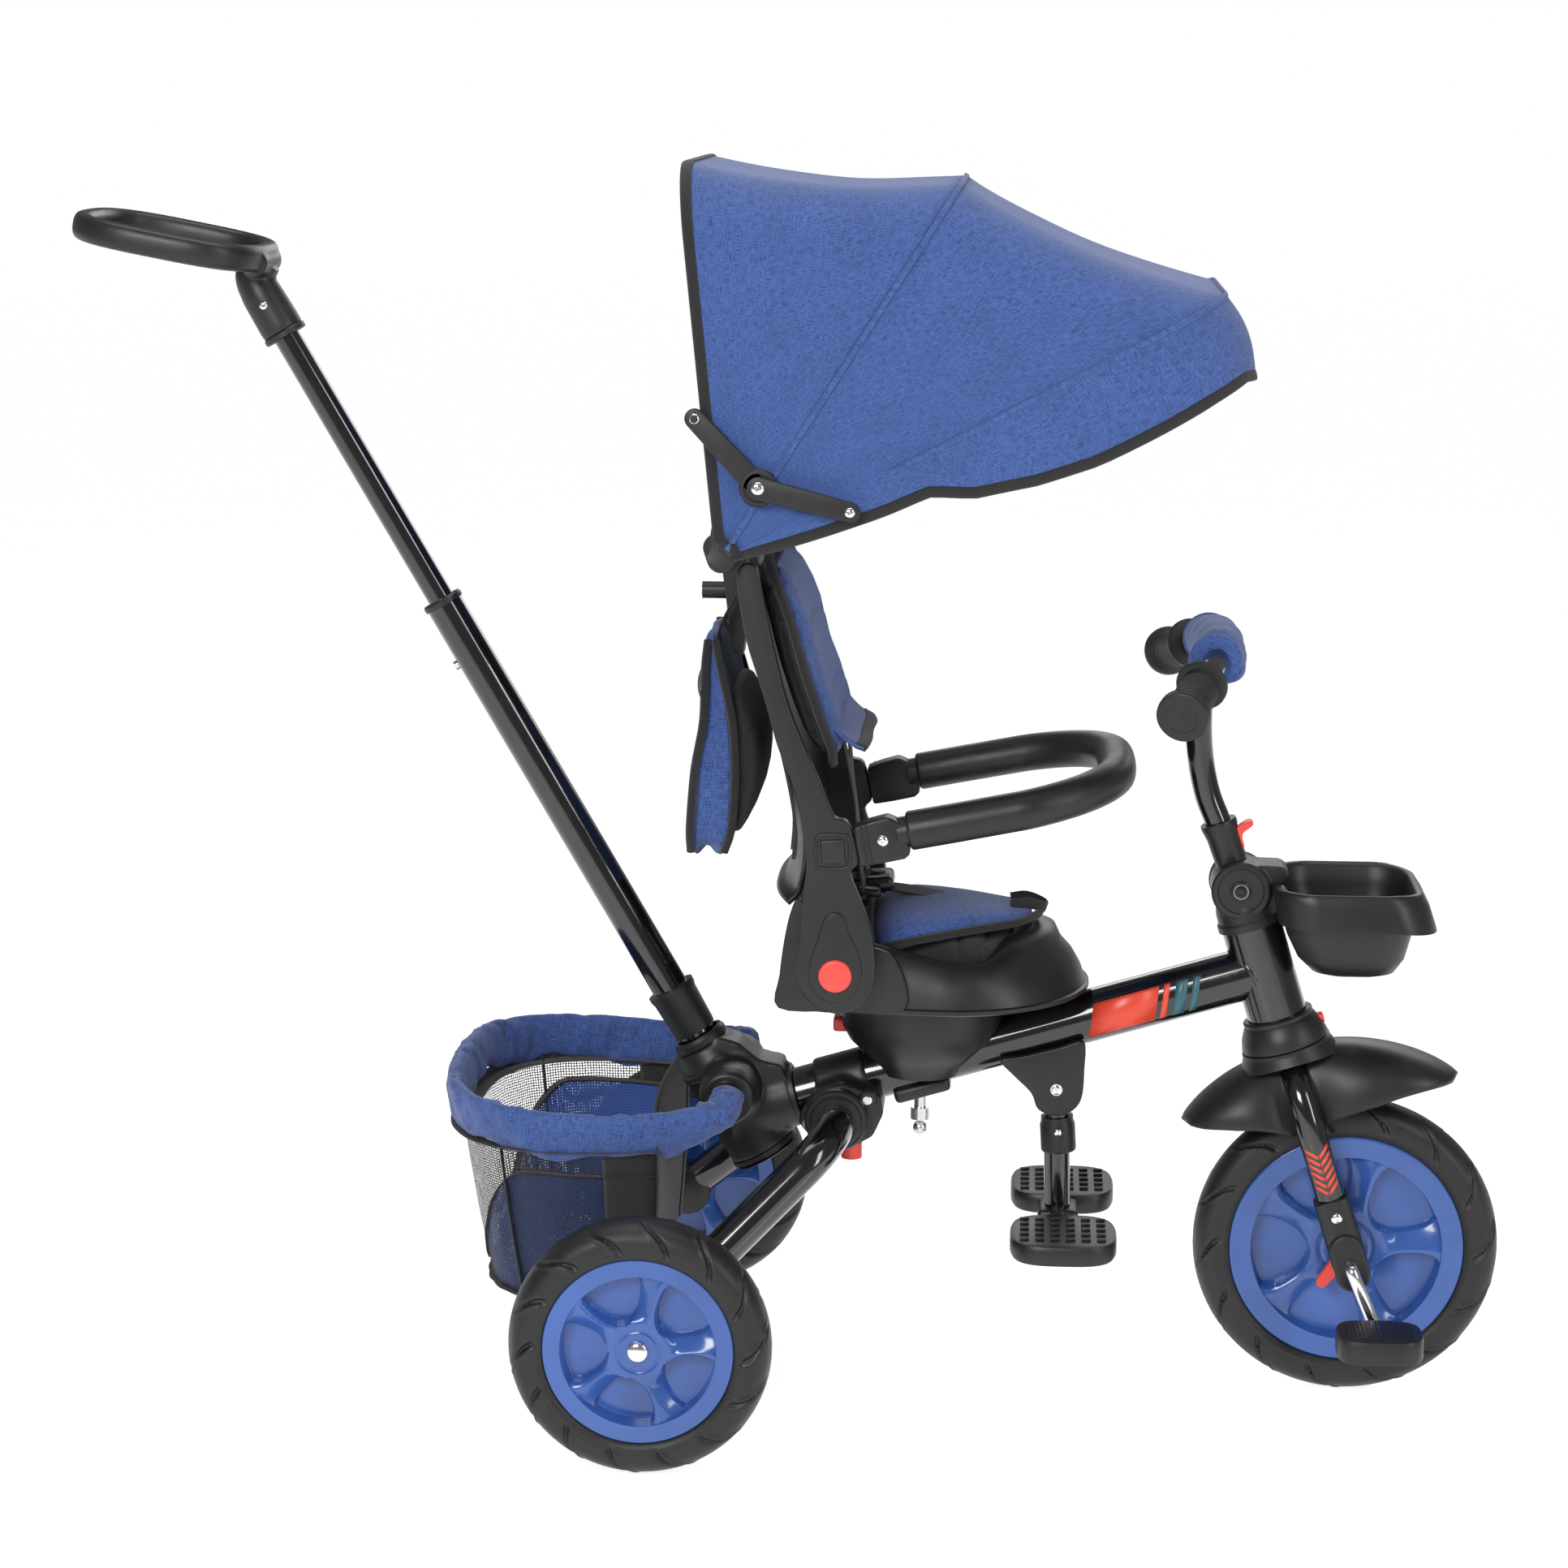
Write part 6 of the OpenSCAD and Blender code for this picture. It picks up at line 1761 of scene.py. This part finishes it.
def make_handlebar():
    bolt = on_head(321.5)
    lean = np.array((-math.sin(math.radians(19.4)), 0, math.cos(math.radians(19.4))))
    stem = [tuple(bolt + 31 * lean), tuple(bolt + 56 * lean), (448, 0, 512), (441.5, 0, 545), (440, 0, 580),
            (444, 0, 612), BAR_MID]
    post = tube("handlebar_stem", stem, 10.9, PAINT, 8, sides=36)
    put(post, "handlebar", "gloss_black_tube", "handlebar")
    half = [(452, 0, 632), (452, 30, 632), (449, 60, 630), tuple(GRIP_IN),
            tuple(GRIP_OUT - (GRIP_OUT - GRIP_IN) * 0.1)]
    path = curve_through([(x, -y, z) for x, y, z in reversed(half[1:])] + half, 8)
    put(sweep("handlebar_bar", path, circle_section(10.9, 36), PAINT, hint=(0, 0, 1)), "handlebar",
        "gloss_black_tube")
    axis = GRIP_OUT - GRIP_IN
    length = np.linalg.norm(axis)
    axis = axis / length
    for side, word in SIDES:
        flip = np.array((1, side, 1))
        profile = [(11.2, -1), (19.6, -1), (20.6, 0.4), (20.6, 3.4), (19.6, 4.8), (16, 5.6), (15, 8)]
        for k in range(9):
            start = 11 + 3.6 * k
            profile += [(15, start), (16, start + 0.5), (16, start + 2), (15, start + 2.5)]
        profile += [(15, 45.6), (16.4, 46.4), (17, 47.6), (16.2, 48.8), (18.4, 49.4), (19.2, 50.6),
                    (18.2, 51.8), (20.2, 52.4), (20.8, 53.8), (20.2, 55.2), (20.6, 56), (21, 57.4),
                    (20.6, length), (19.4, length + 0.9), (13, length + 1.3), (12.6, length + 0.8),
                    (2, length + 0.8), (0, length - 0.2)]
        grip = lathe("handlebar_grip_" + word, profile, tuple(GRIP_IN * flip), tuple(axis * flip), GRIP, 64)
        put(grip, "handlebar", "matte_black_plastic", "handlebar_grips")
    rings = []
    for k in range(25):
        t = k / 24
        y = mix(-57, 57, t)
        end = ease(min(t, 1 - t) / 0.12)
        ring = []
        for j in range(40):
            a = 2 * math.pi * j / 40
            r = 19.6 + 2.2 * end + 1.0 * math.sin(3 * a + y / 15) * math.sin(y / 9)
            flap = 5 * math.exp(-((a - math.radians(318)) / 0.5) ** 2)
            cx = 453 - 4 * (abs(y) / 57) ** 2
            cz = 634 - 2.5 * (abs(y) / 57) ** 2
            ring.append((cx + (r + flap) * math.cos(a), y, cz + (r + flap * 0.8) * math.sin(a)))
        rings.append(ring)
    pad = closed_loft("handlebar_pad_cloth", rings, FABRIC)
    subdivide(pad, 1)
    put(pad, "handlebar", "blue_fabric", "handlebar_pad")
    for side, word in SIDES:
        ring = lathe("handlebar_pad_hem_" + word, [(12, 54), (20.2, 54), (21.4, 55.6), (21, 58), (19, 58.8),
                                                   (12, 58.6)], (449, 0, 631.6), (0, side, 0), FABRIC, 48)
        put(ring, "handlebar", "blue_fabric")


def make_pedals():
    crank = math.radians(-67)
    for side, word in SIDES:
        turn = 1 if side == RIGHT else -1
        pin = (np.array(FRONT_AXLE) - side * -1 * np.array((0, 0, 0))
               + turn * 52 * np.array((math.cos(crank), 0, math.sin(crank))))
        y = side * 73
        path = curve_through([(FRONT_AXLE[0], side * 60, FRONT_AXLE[2]),
                              (FRONT_AXLE[0], side * 68, FRONT_AXLE[2]),
                              tuple(np.array(FRONT_AXLE) + turn * 7
                                    * np.array((math.cos(crank), 0, math.sin(crank)))
                                    + np.array((0, y, 0))), tuple(pin
                                                                  - turn * 7 * np.array((math.cos(crank), 0,
                                                                          math.sin(crank)))
                                                                          + np.array((0, y, 0))),
                                                                          (pin[0], side * 79, pin[2]),
                                                                          (pin[0], side * 100, pin[2])], 7)
        arm = sweep("crank_arm_" + word, path, circle_section(5.6, 28), CHROME, hint=(1, 0.2, 0))
        put(arm, "cranks", "zinc_screw", "cranks")
        centre = (pin[0], side * 112, pin[2])
        body = []
        for inset, z in ((4, -10.4), (1, -9.6), (0, -7), (0, 7), (1, 9.6), (3.4, 10.4)):
            body.append([(x, y2, centre[2] + z) for x, y2 in pedal_plan(centre, inset)])
        obj = closed_loft("pedal_body_" + word, body, PLASTIC, 40)
        put(obj, "pedal_" + word, "matte_black_plastic", "pedal_" + word)
        for k in range(17):
            x = centre[0] - 26 + 52 * k / 16
            half = 20 * math.sqrt(max(0.15, 1 - ((x - centre[0]) / 33) ** 4))
            for face, label in ((1, "top"), (-1, "foot")):
                rib = block("pedal_rib_%s_%d_%s" % (label, k, word),
                            (x, centre[1], centre[2] + face * 10.3), (1.5, 2 * half, 1.8), PLASTIC, 0.5)
                put(rib, "pedal_" + word, "matte_black_plastic")


def pedal_plan(centre, inset):
    points = []
    for k in range(56):
        a = 2 * math.pi * k / 56
        c, s = math.cos(a), math.sin(a)
        points.append((centre[0] + (35 - inset) * math.copysign(abs(c) ** 0.6, c),
                       centre[1] + (28 - inset) * math.copysign(abs(s) ** 0.6, s)))
    return points


def make_footrest():
    for side, word in SIDES:
        bracket = plate("footrest_bracket_" + word,
                        smooth_outline([(281, 287), (300, 291), (330, 299), (350, 304), (351, 280),
                                        (349, 255), (340, 243), (327, 239.5), (313, 245), (307, 259),
                                        (292, 274)], 4), *sorted((side * 17, side * 26)), PLASTIC, 2)
        put(bracket, "frame", "matte_black_plastic", "footrest_bracket")
        rivet("footrest_bolt_head_" + word, (328, side * 26, 263), side, 5.4, "frame", 2.8)
        body = []
        for inset, z in ((5, 136.4), (1.5, 137.6), (0, 140.6), (0, 151), (1.4, 153.6), (4, 154.4),
                         (12, 154.4)):
            body.append([(x, y, z) for x, y in peg_plan(side, inset)])
        peg = closed_loft("foot_peg_body_" + word, body, PLASTIC, 40)
        put(peg, "foot_peg_" + word, "matte_black_plastic", "foot_peg_" + word)
        for row in range(6):
            for column in range(5):
                x = 303 + 12.6 * row if row < 3 else 341 + 12.6 * (row - 3)
                y = side * (42 + 13 * column)
                stud = block("foot_peg_stud_%d_%d_%s" % (row, column, word), (x, y, 155), (7.6, 2.6, 3),
                             PLASTIC, 0.8)
                put(stud, "foot_peg_" + word, "matte_black_plastic")
        hinge = lathe("foot_peg_hinge_" + word, [(9, 10), (9, 23), (8, 24), (0, 24)], (331, 0, 146),
                      (0, side, 0), PLASTIC, 40)
        put(hinge, "footrest", "matte_black_plastic")
    post = tube("footrest_tube", [(328, 0, 263), (329, 0, 225), (330, 0, 180), (331, 0, 146)], 11, PAINT, 4,
                hint=(1, 0, 0), sides=36)
    put(post, "footrest", "gloss_black_tube", "footrest_post")
    foot = block("footrest_foot", (331, 0, 146), (34, 38, 17), PLASTIC, 4)
    put(foot, "footrest", "matte_black_plastic")
    sleeve = lathe("footrest_sleeve_moulding", [(11.2, -15), (14.2, -15), (14.8, -14), (14.8, 8),
                                                (13.6, 11), (13.6, 15), (11.2, 15.2)], (330, 0, 218),
                                                (-0.06, 0, 1), PLASTIC, 48)
    put(sleeve, "footrest_sleeve", "matte_black_plastic", "footrest_sleeve")
    rivet("footrest_sleeve_rivet", (330, -14.4, 222), RIGHT, 3.4, "footrest_sleeve", 1.8)


def peg_plan(side, inset):
    points = []
    for k in range(72):
        a = 2 * math.pi * k / 72
        c, s = math.cos(a), math.sin(a)
        points.append((335 + (44 - inset) * math.copysign(abs(c) ** 0.62, c),
                       side * (68 + (44 - inset) * math.copysign(abs(s) ** 0.62, s))))
    return points


def make_tube_decal():
    """Slanted red and teal bars on both sides of the main tube."""
    bars = [(356, 410, DECAL_RED, "red"), (414, 419, DECAL_RED, "red_thin"), (424, 434, DECAL_TEAL, "teal"),
            (438, 444, DECAL_TEAL, "teal_thin")]
    for side, word in SIDES:
        for x0, x1, material, label in bars:
            rows = []
            for k in range(13):
                a = math.radians(mix(-38, 38, k / 12))
                lean = 9 * math.sin(a)
                up = np.array((-TUBE_DIR[2], 0, TUBE_DIR[0]))
                row = []
                for x in (x0 + lean * (label != "red" or 1), (x0 + x1) / 2 + lean, x1 + lean):
                    p = on_tube(x) + 22.15 * (math.sin(a) * up + side * math.cos(a) * np.array((0, 1, 0)))
                    row.append(at(*p))
                rows.append(row)
            obj = lattice("tube_decal_%s_%s" % (label, word), rows, material)
            thicken(obj, 0.2)
            put(obj, "frame", "red_plastic" if "red" in label else "blue_rim")


DECAL_RED = moulded_plastic("decal_red", (0.78, 0.07, 0.035), 0.34, 0.02)
DECAL_TEAL = moulded_plastic("decal_teal", (0.035, 0.12, 0.15), 0.34, 0.02)


# ---------- materials of the CAD nodes that keep their own shape ----------

CAD_MATERIALS = {"main_frame": PAINT, "frame_screws": ZINC, "lower_pole": PAINT, "upper_pole": PAINT,
                 "pole_lock_button": ZINC, "fork_screws": ZINC, "clutch_lever": RED,
                 "canopy_mount": PLASTIC, "canopy_mid_bow": SATIN_WIRE, "canopy_front_bow": SATIN_WIRE, }


def paint_cad_nodes():
    for name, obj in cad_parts.items():
        material = CAD_MATERIALS.get(name, PLASTIC)
        obj.data.materials.clear()
        obj.data.materials.append(material)
        if not obj.data.polygons:
            continue
        obj.data.shade_smooth()
        obj.data.set_sharp_from_angle(angle=math.radians(35))


def make_floor():
    """A plain white floor that glows faintly, as a lit table does, so that shadows stay soft."""
    verts = [(-9, -5, 0), (9, -5, 0), (9, 16, 0), (-9, 16, 0)]
    mat, tree, bsdf = shader("studio_floor", (0.35, 0.35, 0.35), 0.3)
    bsdf.inputs["Emission Color"].default_value = (1, 1, 1, 1)
    bsdf.inputs["Emission Strength"].default_value = 0.87
    place = coordinates(tree, "Object", (1, 1, 1))
    tree.links.new(ramp(tree, noise(tree, place, 3, 2), [(0.3, 0.345), (0.7, 0.355)]),
                   bsdf.inputs["Base Color"])
    floor = new_object("floor", verts, [(0, 1, 2, 3)], mat)


make_camera()
make_studio()
make_floor()
paint_cad_nodes()
make_wheels()
make_canopy()
make_rear_basket()
make_seat()
make_backrest()
make_storage_bag()
make_bumper()
make_push_handle()
make_housing()
make_leg_clamp()
make_rear_legs()
make_front_end()
make_weld()
make_knuckle()
make_front_basket()
make_handlebar()
make_pedals()
make_footrest()
make_tube_decal()
